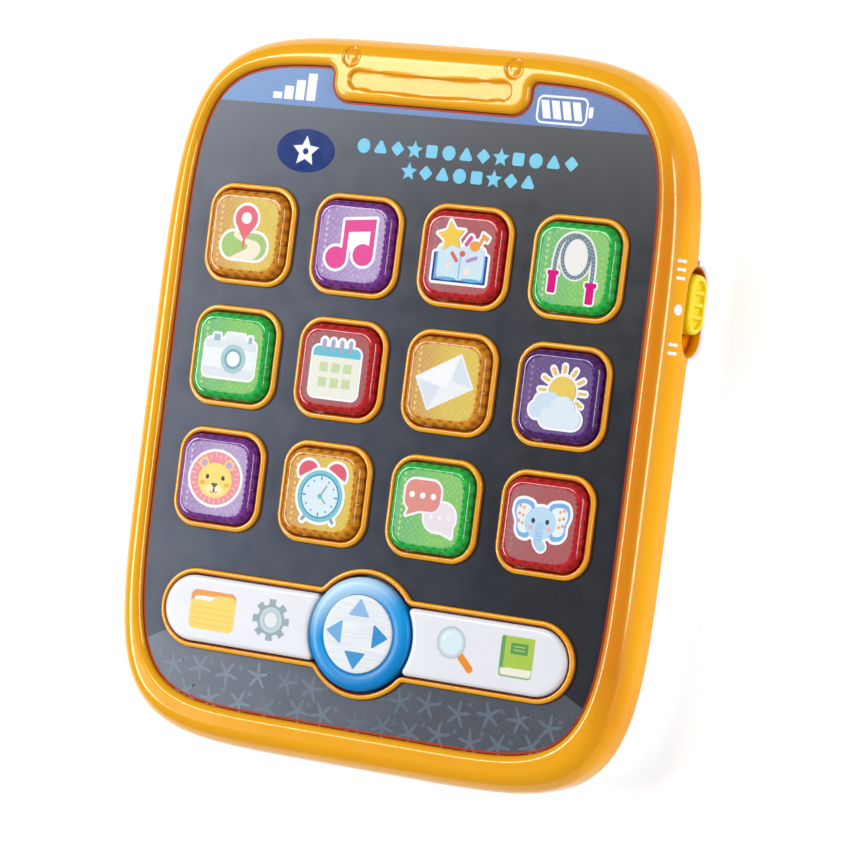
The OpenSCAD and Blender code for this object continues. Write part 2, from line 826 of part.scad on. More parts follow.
front_housing();
faceplate();
rear_cover();
map_button();
music_button();
story_button();
rope_button();
camera_button();
calendar_button();
mail_button();
weather_button();
lion_button();
alarm_button();
chat_button();
elephant_button();
left_key();
right_key();
dpad_ring();
dpad_disc();
dpad_pivot_ball();
dpad_post();
language_slider();
volume_slider();
language_switch();
language_switch_lever();
volume_switch();
volume_switch_lever();
keypad_sheet();
contact_domes();
main_board();
board_screws();
button_leds();
sound_chip();
board_parts();
speaker_frame();
speaker_cone();
speaker_magnet();
speaker_ring();
speaker_screws();
batteries();
battery_springs();
battery_plates();
battery_door();
door_screw();
door_insert();
housing_screws();
speaker_wires();
battery_wires();
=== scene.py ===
"""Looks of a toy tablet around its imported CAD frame.

Lengths here are millimetres in the part's own frame: +X right, +Y to the top edge, +Z out of the
face. They become metres when a mesh is made.
"""
import json
import math
import bmesh
import bpy
import numpy as np
from mathutils import Matrix, Vector
from mathutils.geometry import tessellate_polygon


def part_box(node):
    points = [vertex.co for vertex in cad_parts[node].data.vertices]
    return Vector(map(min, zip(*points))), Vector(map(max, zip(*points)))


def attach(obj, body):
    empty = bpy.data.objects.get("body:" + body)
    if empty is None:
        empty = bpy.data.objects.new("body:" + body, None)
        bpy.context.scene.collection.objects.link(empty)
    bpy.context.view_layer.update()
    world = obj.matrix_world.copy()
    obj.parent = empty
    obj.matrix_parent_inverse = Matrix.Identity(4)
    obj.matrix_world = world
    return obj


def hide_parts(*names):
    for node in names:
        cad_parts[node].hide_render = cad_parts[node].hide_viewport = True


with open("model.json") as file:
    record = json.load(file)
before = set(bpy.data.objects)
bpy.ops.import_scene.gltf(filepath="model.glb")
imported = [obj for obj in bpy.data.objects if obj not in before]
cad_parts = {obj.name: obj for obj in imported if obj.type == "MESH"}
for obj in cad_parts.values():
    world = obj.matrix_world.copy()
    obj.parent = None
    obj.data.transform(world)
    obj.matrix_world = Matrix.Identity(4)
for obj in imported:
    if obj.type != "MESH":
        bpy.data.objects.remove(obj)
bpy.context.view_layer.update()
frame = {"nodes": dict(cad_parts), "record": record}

MM = 0.001
INK_STEP = 0.012


# ---- places read from the frame ----
def low(node):
    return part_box(node)[0] / MM


def high(node):
    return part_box(node)[1] / MM


def middle(node):
    return (low(node) + high(node)) / 2


CASE_W = high("rear_cover").x
CASE_H = high("rear_cover").y
FACE_Z = high("faceplate").z
DECK_TOP = low("faceplate").z
DECK_Z = DECK_TOP - 2
GRID_Y = middle("camera_button").y
BAR_Y = middle("dpad_disc").y
CAP_TOP = high("map_button").z - 0.1
KEY_TOP = high("right_key").z - 0.06
DISC_TOP = high("dpad_disc").z - 0.04
SLIDER = middle("language_slider")

# Levels and widths that the parts share. FACE is the sheet's outline, BAR holds the keys and the pad,
# SLOT is a slider's opening with a TONGUE inside it, NOTCH is the top pad with its GROOVE and DIMPLEs.
SEAM_Z = FACE_Z - 12.3
SEAM_GAP = 0.12
RIM_RISE = 2.2
FACE_HALF = 83.4
FACE_UP = 94.4
FACE_DOWN = 110.8
OUTER_ROLL = 6.5
OUTER_FALL = 8.7
INNER_ROLL = 2.6
INNER_FALL = 2.7
COLLAR_W = 32.1
COLLAR_R = 8.5
COLLAR_T = 2
COLLAR_RISE = 1.4
CAP_W = 27.3
CAP_R = 6.1
CAP_BEVEL = 1.95
BAR_W = 148.4
BAR_H = 25.3
BAR_T = 1.8
PAD_COLLAR_R = 20.3
PAD_R = 17.7
DISC_R = 12.2
KEY_END_X = 61.5
KEY_END_R = 10.45
SLOT_Y = GRID_Y + 30.2
SLOT_Z = FACE_Z - 13.5
SLOT_W = 27.5
SLOT_H = 13
SLOT_LIP = 0.9
KNOB_W = 18.4
KNOB_H = 11.3
WINDOW_W = 14.4
WINDOW_H = 6.2
TONGUE_X = 87.2
TONGUE_T = 1.6
NOTCH_HALF = 35
NOTCH_LOW = GRID_Y + 83.7
GROOVE_Y = GRID_Y + 90
GROOVE_BEND = 490
GROOVE_HALF = 26
DIMPLE = (29, GRID_Y + 97.8)
BOSSES = [(side * x, GRID_Y + y) for side in (-1, 1) for x, y in ((75.5, 62), (76, -19.5), (60, -101.5))]
POSTS = [(side * 39, GRID_Y + y) for side in (-1, 1) for y in (19.5, -19.5, -60)]


# ---- mesh making ----
def placed(name, data):
    """New object in the scene."""
    thing = bpy.data.objects.new(name, data)
    bpy.context.scene.collection.objects.link(thing)
    return thing


def shell(points, faces):
    """One closed shell: its points as an array, and its faces."""
    return np.asarray(points, float).reshape(-1, 3), faces


def piece(name, shells, mat, at=(0, 0, 0), ink=None):
    """Mesh object from closed shells; at is where its own origin lies."""
    mesh = bpy.data.meshes.new(name)
    verts, faces = [], []
    for points, polys in shells:
        base = sum(len(v) for v in verts)
        verts.append(points)
        faces += [tuple(base + i for i in poly) for poly in polys]
    every = (np.concatenate(verts) - np.array(at, float)) * MM
    mesh.from_pydata(every.tolist(), [], faces)
    work = bmesh.new()
    work.from_mesh(mesh)
    bmesh.ops.recalc_face_normals(work, faces=work.faces)
    work.to_mesh(mesh)
    work.free()
    if ink is not None:
        layer = mesh.attributes.new("ink", "FLOAT_COLOR", "FACE")
        layer.data.foreach_set("color", np.asarray(ink, np.float32).ravel())
    mesh.materials.append(mat)
    mesh.shade_smooth()
    mesh.set_sharp_from_angle(angle=math.radians(35))
    thing = placed(name, mesh)
    thing.location = Vector(at) * MM
    return thing


def loft(rings, closed=False):
    """Skin through rings of equal length; it joins up with itself, or has a cap at both ends."""
    m, n = len(rings), len(rings[0])
    faces = []
    for i in range(m if closed else m - 1):
        a, b = i * n, (i + 1) % m * n
        faces += [(a + j, a + (j + 1) % n, b + (j + 1) % n, b + j) for j in range(n)]
    if not closed:
        faces += [tuple(range(n))[::-1], tuple(range((m - 1) * n, m * n))]
    return shell(np.concatenate(rings), faces)


def at_height(outline, z):
    return np.column_stack([outline, np.full(len(outline), float(z))])


def sweep(outline, profile, closed=False):
    """Loft of outline(inset) along a profile of (inset, height)."""
    return loft([at_height(outline(inset), z) for inset, z in profile], closed)


def prism(loops, z0, z1):
    """Upright solid over flat loops; loops after the first are holes."""
    flat = [[Vector((x, y, 0)) for x, y in loop] for loop in loops]
    top = tessellate_polygon(flat)
    points = np.concatenate([np.asarray(loop, float) for loop in loops])
    n = len(points)
    faces = [tuple(i + n for i in t) for t in top] + [tuple(t[::-1]) for t in top]
    start = 0
    for loop in loops:
        k = len(loop)
        faces += [(start + i, start + (i + 1) % k, start + (i + 1) % k + n, start + i + n) for i in range(k)]
        start += k
    return shell(np.concatenate([at_height(points, z0), at_height(points, z1)]), faces)


def quarter(n):
    """Angles of a quarter turn in n steps, without its start."""
    return [math.pi / 2 * i / n for i in range(1, n + 1)]


def rounding(start, z, across, rise, n, power=1.0):
    """Profile of a rounded edge that goes across from start and up from z, without its first point."""
    return [(start + across * (1 - math.cos(a)) ** power, z + rise * math.sin(a)) for a in quarter(n)]


def lathe(profile, centre, steps=64, closed=True):
    """Round solid about an upright axis; an open profile starts and ends on the axis."""
    turn = np.linspace(0, 2 * math.pi, steps, endpoint=False)
    rings = []
    for r, z in profile:
        r = max(r, 0.001)
        flat = np.column_stack([centre[0] + r * np.cos(turn), centre[1] + r * np.sin(turn)])
        rings.append(at_height(flat, z))
    return loft(rings, closed)


def tube(centre, r_out, r_in, z0, z1):
    return lathe([(r_out, z0), (r_out, z1), (r_in, z1), (r_in, z0)], centre, 40)


def rod(centre, r, z0, z1, steps=40):
    return lathe([(r, z0), (r, z1)], centre, steps, closed=False)


def laid_down(part, y):
    """Lays an upright shell along Y, with its foot level at y."""
    points, faces = part
    return np.column_stack([points[:, 0], points[:, 2] + y, points[:, 1]]), faces


def mirrored(shells):
    return [(points * np.array([-1, 1, 1]), faces) for points, faces in shells]


def cut(thing, shells):
    """Takes closed cutters out of a piece, one set at a time."""
    cutter = piece("cutter", shells, thing.data.materials[0])
    change = thing.modifiers.new("cut", "BOOLEAN")
    change.operation = "DIFFERENCE"
    change.solver = "EXACT"
    change.object = cutter
    bpy.context.view_layer.update()
    done = bpy.data.meshes.new_from_object(thing.evaluated_get(bpy.context.evaluated_depsgraph_get()))
    thing.modifiers.clear()
    thing.data = done
    bpy.data.objects.remove(cutter)


def join(name, things):
    """Makes one piece of several."""
    with bpy.context.temp_override(active_object=things[0], object=things[0],
                                   selected_objects=things, selected_editable_objects=things):
        bpy.ops.object.join()
    things[0].name = name
    return things[0]


def soften(thing, angle):
    """Smooth shading, with edges kept sharp where the surface bends by more than the angle."""
    thing.data.shade_smooth()
    thing.data.set_sharp_from_angle(angle=math.radians(angle))


def settle(thing, body, slot, *nodes):
    """Puts a finished piece on its body and hides the nodes it stands for; the slot is not used."""
    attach(thing, body)
    if nodes:
        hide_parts(*nodes)


# ---- outlines ----
def arc(cx, cy, r, a0, a1, n=12):
    a = np.radians(np.linspace(a0, a1, n + 1))
    return np.column_stack([cx + r * np.cos(a), cy + r * np.sin(a)])


def rounded(w, h, r, cx=0, cy=0, n=12):
    """Rectangle with round corners."""
    r = max(r, 0.01)
    x, y = w / 2 - r, h / 2 - r
    return np.concatenate([
        arc(cx + x, cy + y, r, 0, 90, n), arc(cx - x, cy + y, r, 90, 180, n),
        arc(cx - x, cy - y, r, 180, 270, n), arc(cx + x, cy - y, r, 270, 360, n)])


def disc(x, y, rx, ry=None, n=48):
    a = np.linspace(0, 2 * math.pi, n, endpoint=False)
    return np.column_stack([x + rx * np.cos(a), y + (ry or rx) * np.sin(a)])


def pair(x, apart, y, rx, ry=None):
    """Two like discs, one on each side of x."""
    return [disc(x - apart, y, rx, ry), disc(x + apart, y, rx, ry)]


def spun(points, degrees):
    c, s = math.cos(math.radians(degrees)), math.sin(math.radians(degrees))
    return np.asarray(points, float) @ np.array([[c, s], [-s, c]])


def capsule(x0, y0, x1, y1, w):
    """Straight bar with round ends."""
    a = math.degrees(math.atan2(y1 - y0, x1 - x0))
    return np.concatenate([arc(x1, y1, w / 2, a - 90, a + 90, 10), arc(x0, y0, w / 2, a + 90, a + 270, 10)])


def box(x0, y0, x1, y1, r=0.3):
    return rounded(x1 - x0, y1 - y0, r, (x0 + x1) / 2, (y0 + y1) / 2, 6)


def star(x, y, tip, root, points=5, turn=90):
    a = np.radians(turn + 180 / points * np.arange(2 * points))
    r = np.where(np.arange(2 * points) % 2 == 0, tip, root)
    return np.column_stack([x + r * np.cos(a), y + r * np.sin(a)])


def spline(points, closed=True, n=6):
    """Smooth curve through points."""
    p = np.asarray(points, float)
    m = len(p)
    t = np.linspace(0, 1, n, endpoint=False)[:, None]
    out = []
    for i in range(m if closed else m - 1):
        if closed:
            a, b, c, d = (p[(i + k) % m] for k in (-1, 0, 1, 2))
        else:
            a, b, c, d = p[max(i - 1, 0)], p[i], p[i + 1], p[min(i + 2, m - 1)]
        out.append(0.5 * (2 * b + (c - a) * t + (2 * a - 5 * b + 4 * c - d) * t ** 2
                          + (3 * b - a - 3 * c + d) * t ** 3))
    if not closed:
        out.append(p[-1:])
    return np.concatenate(out)


def grow(loop, by):
    """Loop a set distance outside another one, with round outer corners."""
    p = np.asarray(loop, float)
    nxt = np.roll(p, -1, 0)
    p = p[np.hypot(*(nxt - p).T) > 1e-6]
    area = np.sum(p[:, 0] * np.roll(p[:, 1], -1) - p[:, 1] * np.roll(p[:, 0], -1))
    if area < 0:
        p = p[::-1]
    out = []
    for i in range(len(p)):
        d1, d2 = p[i] - p[i - 1], p[(i + 1) % len(p)] - p[i]
        d1, d2 = d1 / np.hypot(*d1), d2 / np.hypot(*d2)
        n1, n2 = np.array([d1[1], -d1[0]]), np.array([d2[1], -d2[0]])
        bend = math.atan2(d1[0] * d2[1] - d1[1] * d2[0], d1 @ d2)
        if bend < 1e-3:
            out.append(p[i] + by * (n1 + n2) / max(1 + n1 @ n2, 0.3))
            continue
        steps = 1 + int(bend / 0.3)
        start = math.atan2(n1[1], n1[0])
        for k in range(steps + 1):
            a = start + bend * k / steps
            out.append(p[i] + by * np.array([math.cos(a), math.sin(a)]))
    return np.array(out)


def stroke(points, w):
    """Band of even width along an open curve, with round ends."""
    p = np.asarray(points, float)
    d = np.gradient(p, axis=0)
    d /= np.hypot(*d.T)[:, None]
    side = np.column_stack([-d[:, 1], d[:, 0]]) * w / 2
    a = math.degrees(math.atan2(d[-1, 1], d[-1, 0]))
    b = math.degrees(math.atan2(d[0, 1], d[0, 0]))
    return np.concatenate([p - side, arc(*p[-1], w / 2, a - 80, a + 80, 6), (p + side)[::-1],
                           arc(*p[0], w / 2, b + 100, b + 260, 6)])


# ---- outlines of the case and the face ----
def oval(k, half, up, down, mid, p_up, p_low):
    c, s = np.cos(k), np.sin(k)
    p = np.where(s >= 0, p_up, p_low)
    reach = np.where(s >= 0, up, down)
    return np.column_stack([half * np.sign(c) * np.abs(c) ** (2 / p),
                            mid + reach * np.sign(s) * np.abs(s) ** (2 / p)])


def outer_pt(k):
    return oval(k, CASE_W, CASE_H, CASE_H, 0, 5.1, 5.7)


def face_pt(k):
    return oval(k, FACE_HALF, FACE_UP, FACE_DOWN, GRID_Y, 6.3, 6.7)


def run_length(points):
    """Distance along a line at each of its points."""
    return np.concatenate([[0], np.cumsum(np.hypot(*np.diff(points, axis=0).T))])


def even(curve, k0, k1, n):
    """Values of k between k0 and k1 that lie at even distances along a curve."""
    u = np.linspace(0, 1, 6001)
    k = k0 + (k1 - k0) * u
    # more samples near the axes, where the curve runs fastest
    q = np.round(k / (math.pi / 2))
    k = np.sort(np.concatenate([k] + [np.clip(c * math.pi / 2 + s * np.geomspace(1e-9, 0.3, 400), k0, k1)
                                      for c in np.unique(q) for s in (-1, 1)]))
    run = run_length(curve(k))
    return np.interp(np.linspace(0, run[-1], n), run, k)


def resample(points, n):
    """As many points at even distances along a line through the given ones."""
    run = run_length(points)
    t = np.linspace(0, run[-1], n)
    return np.column_stack([np.interp(t, run, points[:, 0]), np.interp(t, run, points[:, 1])])


def outlines():
    """Matching points on the case's edge and on the edge of the face, which dips round the raised pad."""
    fillet, corner = 2.5, 6
    reach = NOTCH_HALF + fillet
    scan = np.linspace(0.2, math.pi / 2, 4000)
    k_right = float(np.interp(-reach, -face_pt(scan)[:, 0], scan))
    top = float(face_pt(np.array([k_right]))[0, 1])
    half = np.concatenate([
        arc(reach, top - fillet, fillet, 90, 180, 10),
        arc(NOTCH_HALF - corner, NOTCH_LOW + corner, corner, 0, -90, 16)])
    dip = np.concatenate([half, (half * np.array([-1, 1]))[::-1]])
    k_dip = even(outer_pt, k_right, math.pi - k_right, 231)[:-1]
    k_rest = even(outer_pt, math.pi - k_right, 2 * math.pi + k_right, 521)[:-1]
    outer = np.concatenate([outer_pt(k_dip), outer_pt(k_rest)])
    inner = np.concatenate([resample(dip, 231)[:-1], face_pt(k_rest)])
    return outer, inner


OUTER, INNER = outlines()


def blend_ring(s):
    return OUTER * (1 - s) + INNER * s


def distance(points, loop):
    """Shortest distance from each point to a closed loop."""
    a, b = loop, np.roll(loop, -1, 0)
    d = b - a
    length = (d ** 2).sum(1)
    out = []
    for part in np.array_split(points, max(1, len(points) // 3000)):
        rel = part[:, None] - a[None]
        t = np.clip((rel * d[None]).sum(2) / length, 0, 1)
        out.append(np.sqrt(((rel - t[..., None] * d[None]) ** 2).sum(2).min(1)))
    return np.concatenate(out)


def step_up(x):
    x = np.clip(x, 0, 1)
    return x * x * (3 - 2 * x)


def roll(d, width, fall):
    """Quarter round: how far below its crest a rolled edge is at a distance from its foot."""
    t = 1 - np.clip(d / width, 0, 1)
    return fall * (1 - np.sqrt(np.clip(1 - t * t, 0, 1)))


def rim_height(points):
    d_in, d_out = distance(points, INNER), distance(points, OUTER)
    fall = np.maximum(roll(d_in, INNER_ROLL, INNER_FALL), roll(d_out, OUTER_ROLL, OUTER_FALL))
    z = FACE_Z + RIM_RISE - fall
    bend = math.asin(GROOVE_HALF / GROOVE_BEND)
    centre = GROOVE_Y + GROOVE_BEND
    x, y = np.abs(points[:, 0]), points[:, 1]
    end_y = centre - GROOVE_BEND * math.cos(bend)
    along = np.where(x < GROOVE_HALF, np.abs(np.hypot(x, y - centre) - GROOVE_BEND),
                     np.hypot(x - GROOVE_HALF, y - end_y))
    z = z - step_up((3.4 - along) / 0.8)
    round_d = np.hypot(x - DIMPLE[0], y - DIMPLE[1])
    return z - 0.75 * step_up((3.5 - round_d) / 0.8) + 0.35 * step_up((2.3 - round_d) / 1.6)


# ---- materials ----
def srgb(text):
    """Linear colour from a six-digit hexadecimal one."""
    channel = [int(text[i:i + 2], 16) / 255 for i in (0, 2, 4)]
    return tuple(c / 12.92 if c <= 0.04045 else ((c + 0.055) / 1.055) ** 2.4 for c in channel) + (1.0,)


class Finish:
    """Material with a principled shader, and short calls that add nodes to it."""

    def __init__(self, name, roughness, coat=0.0, metallic=0.0, specular=0.5, subsurface=0.0):
        self.mat = bpy.data.materials.new(name)
        self.mat.use_nodes = True
        self.tree = self.mat.node_tree
        self.shader = self.tree.nodes["Principled BSDF"]
        for name, value in (("Roughness", roughness), ("Metallic", metallic), ("Coat Weight", coat),
                            ("Coat Roughness", 0.06), ("Specular IOR Level", specular),
                            ("Subsurface Weight", subsurface), ("Subsurface Scale", 0.001)):
            self.feed(name, value)
        self.where = self.add("ShaderNodeTexCoord", {}).outputs["Object"]

    def add(self, kind, inputs, **settings):
        """New node with its settings; its inputs are named, or told by their place."""
        node = self.tree.nodes.new(kind)
        for key, value in settings.items():
            setattr(node, key, value)
        for key, source in inputs.items():
            self.put(source, node.inputs[key])
        return node

    def put(self, source, socket):
        """Links a node's output to a socket, or sets the socket to a value or a six-digit colour."""
        if isinstance(source, bpy.types.NodeSocket):
            self.tree.links.new(source, socket)
        else:
            socket.default_value = srgb(source) if isinstance(source, str) else source

    def feed(self, name, source):
        """Gives the shader's own socket of that name its value."""
        self.put(source, self.shader.inputs[name])

    def math(self, operation, a, b=0.0, c=0.0):
        return self.add("ShaderNodeMath", {0: a, 1: b, 2: c}, operation=operation).outputs[0]

    def axes(self):
        return self.add("ShaderNodeSeparateXYZ", {0: self.where}).outputs

    def noise(self, scale, detail=2.0, stretch=None, rough=0.5):
        where = self.where
        if stretch:
            where = self.add("ShaderNodeMapping", {"Vector": where, "Scale": stretch}).outputs[0]
        return self.add("ShaderNodeTexNoise", {"Vector": where, "Scale": scale, "Detail": detail,
                                               "Roughness": rough}).outputs["Fac"]

    def ramp(self, value, lo, hi, out_lo=0.0, out_hi=1.0, smooth=False):
        """Maps a value from the range lo to hi onto the range out_lo to out_hi, and stops at its ends."""
        return self.add("ShaderNodeMapRange", {0: value, 1: lo, 2: hi, 3: out_lo, 4: out_hi},
                        interpolation_type="SMOOTHSTEP" if smooth else "LINEAR").outputs[0]

    def mix(self, factor, a, b, blend="MIX"):
        node = self.add("ShaderNodeMix", {0: factor, 6: a, 7: b}, data_type="RGBA", blend_type=blend)
        return node.outputs[2]

    def colour(self, source):
        self.feed("Base Color", source)

    def gloss(self, smooth, rough, scale=90, detail=4, edge=0.25):
        """Uneven gloss: the roughness wanders between two values."""
        self.feed("Roughness", self.ramp(self.noise(scale, detail), edge, 1 - edge, smooth, rough))

    def bump(self, height, strength):
        self.feed("Normal", self.add("ShaderNodeBump", {"Strength": strength, "Distance": 0.0001,
                                                        "Height": height}).outputs[0])


def plastic(name, main, other, roughness, coat=0.0, grain=2600, grain_strength=0.08, specular=0.5,
            subsurface=0.0, tint="FFFFFF"):
    """Moulded plastic: slight flow marks in the colour, uneven gloss and a fine skin."""
    f = Finish(name, roughness, coat, specular=specular, subsurface=subsurface)
    f.feed("Specular Tint", tint)
    flow = f.noise(26, 3, (1, 0.35, 1))
    fine = f.noise(grain, 3)
    f.colour(f.mix(f.ramp(flow, 0.3, 0.7), main, other))
    f.gloss(roughness * 0.82, roughness * 1.2)
    f.bump(fine, grain_strength)
    return f.mat


def orange_material():
    """Glossy orange shell: painted red shade in its crevices, painted deeper shade on the right, less glossy
    down its sides.
    """
    f = Finish("orange_plastic", 0.17)
    x, y, z = f.axes()
    height = f.ramp(z, (FACE_Z - 3) * MM, (FACE_Z + 1.4) * MM)
    # far_up and band mark the right side of the rim away from its ends, which gets a deeper orange: painted
    # shade.
    far_up = f.ramp(f.math("ABSOLUTE", y), 0.1, 0.07)
    band = f.math("MULTIPLY", f.ramp(x, 0.078, 0.084), f.ramp(x, 0.0915, 0.0885))
    body = f.mix(f.ramp(f.noise(26, 3, (1, 0.35, 1)), 0.3, 0.7), "F0A906", "EEA404")
    body = f.mix(f.math("MULTIPLY", band, far_up), body, "DD8402")
    # Ambient occlusion turns the crevices dark red: painted shade.
    shade = f.add("ShaderNodeAmbientOcclusion", {"Distance": 0.0024}, samples=8)
    body = f.mix(f.ramp(shade.outputs["AO"], 0.45, 1.0), "A23604", body)
    f.colour(body)
    f.feed("Specular Tint", f.mix(height, "FFB850", "FFEBC8"))
    f.feed("Specular IOR Level", f.ramp(height, 0, 0.7, 0.2, 0.9))
    f.gloss(0.14, 0.2)
    f.bump(f.noise(2600, 3), 0.02)
    return f.mat


def pad_material():
    """Blue ring of the direction pad: painted highlight towards its upper left, painted shade towards its
    lower right.
    """
    f = Finish("pad_plastic", 0.3, specular=0.3)
    x, y, _ = f.axes()
    # lean grows towards the upper left: the ring is darker towards the lower right and pale towards the upper
    # left, painted shade and painted highlight.
    lean = f.math("MULTIPLY_ADD", x, -0.42, f.math("MULTIPLY", f.math("ADD", y, -BAR_Y * MM), 0.9))
    body = f.mix(f.ramp(lean, -0.014, 0.0), "0080C8", "0094DC")
    body = f.mix(f.ramp(lean, 0.002, 0.017, 0.0, 0.8, smooth=True), body, "C8E6F8")
    f.colour(f.mix(f.ramp(f.noise(26, 3), 0.3, 0.7, 0.0, 0.05), body, "0060A0"))
    f.gloss(0.26, 0.36)
    f.bump(f.noise(2600, 3), 0.02)
    return f.mat


def face_material():
    """Printed sheet: dark ground, blue band at the top and a paler ground with sand grain below, each lighter
    towards the left with painted reflection.
    """
    f = Finish("dark_printed_sheet", 0.2, specular=0.24)
    x, y, _ = f.axes()
    side = f.math("ABSOLUTE", x)
    speck = f.noise(1500, 2)
    # The ground, the band and the sand are lighter towards the left: painted reflection.
    fade = f.ramp(f.math("MULTIPLY_ADD", f.noise(14, 2), 0.03, x), -0.07, 0.08, smooth=True)
    dark = f.mix(fade, "4A5162", "25282F")
    band = f.mix(f.ramp(x, -0.07, 0.07), "5682BA", "4165A4")
    band = f.mix(f.ramp(speck, 0.35, 0.65, 0.0, 0.12), band, "9DBBE0")
    sand = f.mix(f.ramp(speck, 0.4, 0.62), "4A4F58", "535963")
    sand = f.mix(f.ramp(x, -0.08, 0.03), "727A88", sand)
    above = f.ramp(y, (GRID_Y + 81.1) * MM, (GRID_Y + 81.3) * MM)
    edge = f.math("MINIMUM", f.math("MULTIPLY_ADD", side, -0.5, (GRID_Y - 53.0) * MM), BAR_Y * MM)
    below = f.ramp(f.math("SUBTRACT", edge, y), -0.0001, 0.0001)
    f.colour(f.mix(above, f.mix(below, dark, sand), band))
    f.gloss(0.18, 0.24, scale=120, edge=0.3)
    f.bump(f.noise(3800, 2), 0.03)
    return f.mat


def cap_material(name, left, right, glint_tone, side, side_dark, side_light):
    """Clear tinted cap: a hazy flat top over rows of small prisms, and deep sides with upright bars; painted
    glints on both, and a faint painted glow on the sides.
    """
    f = Finish(name, 0.12, coat=0.3, specular=0.4)
    f.feed("Coat Roughness", 0.04)
    x, y, z = f.axes()
    pitch = 0.00095

    def wave(v, length, phase=0.0):
        return f.math("SINE", f.math("MULTIPLY_ADD", v, 2 * math.pi / length, phase))

    dots = f.math("MULTIPLY", wave(x, 2 * pitch, math.pi / 2), wave(y, 2 * pitch, math.pi / 2))
    grain = f.noise(900, 3, rough=0.7)
    # Bright specks on the prisms and a dotted column near the left edge: painted glints.
    glint = f.math("MULTIPLY", f.ramp(dots, 0.1, 0.9), f.ramp(grain, 0.42, 0.62))
    column = f.ramp(f.math("ABSOLUTE", f.math("ADD", x, 0.0094)), 0.0007, 0.0, smooth=True)
    column = f.math("MULTIPLY", column, f.ramp(wave(y, 2 * pitch), -0.4, 0.7))
    top = f.mix(f.ramp(x, -0.011, 0.004, smooth=True), left, right)
    top = f.mix(f.ramp(grain, 0.5, 0.25, 0.0, 0.5), top, side_light)
    top = f.mix(f.math("MULTIPLY", glint, 0.5), top, glint_tone)
    top = f.mix(f.math("MULTIPLY", column, 0.75), top, glint_tone)
    bars = f.math("MULTIPLY", wave(x, 4 * pitch, math.pi / 2), wave(y, 4 * pitch, math.pi / 2))
    bars = f.ramp(f.math("MULTIPLY_ADD", grain, 1.1, bars), 0.4, 1.3, 0.0, 0.75)
    deep = f.mix(bars, side, side_dark)
    # Bright specks on the sides: painted glints.
    flash = f.math("MULTIPLY", f.ramp(dots, 0.3, 0.9), f.ramp(f.noise(500, 2), 0.55, 0.68))
    deep = f.mix(flash, deep, side_light)
    ax, ay = f.math("ABSOLUTE", x), f.math("ABSOLUTE", y)
    square = f.math("POWER", f.math("ADD", f.math("POWER", f.math("MULTIPLY", ax, 100), 5.0),
                                    f.math("POWER", f.math("MULTIPLY", ay, 100), 5.0)), 0.2)
    saw = f.math("MULTIPLY", dots, f.ramp(x, 0.002, 0.009, 0.004, 0.03))
    teeth = f.math("ADD", saw, square)
    inside = f.ramp(teeth, 1.165, 1.125)
    level = f.ramp(z, -0.0006, -0.0002)
    plateau = f.math("MULTIPLY", inside, level)
    body = f.mix(plateau, deep, top)
    f.colour(body)
    # The sides glow faintly in their own colour: painted light standing in for light passing through the
    # clear plastic.
    f.feed("Emission Color", body)
    f.feed("Emission Strength", f.math("MULTIPLY_ADD", plateau, -0.16, 0.16))
    f.gloss(0.08, 0.16, 200, 3, 0.3)
    f.bump(f.noise(1200, 2), 0.03)
    return f.mat


def ink_material():
    """Printing ink: each shape's own colour with a fine speckle, under a smooth varnish."""
    f = Finish("printing_ink", 0.24, specular=0.12)
    colour = f.add("ShaderNodeAttribute", {}, attribute_name="ink", attribute_type="GEOMETRY")
    colour = colour.outputs["Color"]
    speck = f.ramp(f.noise(2600, 3, rough=0.7), 0.35, 0.65)
    darker = f.mix(1.0, colour, (0.9, 0.9, 0.9, 1.0), "MULTIPLY")
    f.colour(f.mix(speck, darker, colour))
    f.gloss(0.12, 0.2, 300, 3, 0.3)
    f.bump(f.noise(3000, 2), 0.02)
    return f.mat


def metal(name, tone, roughness, stretch=(1, 1, 1), scale=900):
    f = Finish(name, roughness, metallic=1.0)
    streak = f.noise(scale, 4, stretch)
    light = tuple(min(1.0, c * 1.15) for c in srgb(tone)[:3]) + (1.0,)
    f.colour(f.mix(f.ramp(streak, 0.3, 0.7), tone, light))
    f.feed("Roughness", f.ramp(streak, 0.3, 0.7, roughness * 0.8, roughness * 1.25))
    f.bump(streak, 0.08)
    return f.mat


def brushed_disc():
    f = Finish("brushed_white", 0.35, specular=0.3)
    streak = f.noise(120, 5, (0.6, 26, 1), 0.7)
    f.colour(f.mix(f.ramp(streak, 0.3, 0.72), "CBD3DA", "EEF2F5"))
    f.feed("Roughness", f.ramp(streak, 0.3, 0.7, 0.25, 0.42))
    f.bump(streak, 0.12)
    return f.mat


def board_material():
    """Solder mask with the paths of its tracks showing through."""
    f = Finish("circuit_board", 0.35, coat=0.3)
    cells = f.add("ShaderNodeTexBrick", {"Vector": f.where, "Scale": 110.0, "Mortar Size": 0.018,
                                         "Color1": "0E5A2A", "Color2": "12662F", "Mortar": "3F9A55"})
    f.colour(f.mix(f.ramp(f.noise(300, 3), 0.3, 0.7, 0.0, 0.3), cells.outputs["Color"], "0A4420"))
    f.bump(cells.outputs["Fac"], 0.2)
    return f.mat


def cell_material():
    """Wrap of a cell: a plain band of another colour near one end."""
    f = Finish("cell_wrap", 0.25, coat=0.4, metallic=0.3)
    x, _, _ = f.axes()
    band = f.ramp(x, 0.0088, 0.009)
    base = f.mix(f.ramp(f.noise(60, 3), 0.3, 0.7), "1F3F8F", "24499F")
    f.colour(f.mix(band, base, "C9A24A"))
    f.bump(f.noise(1500, 2), 0.04)
    return f.mat


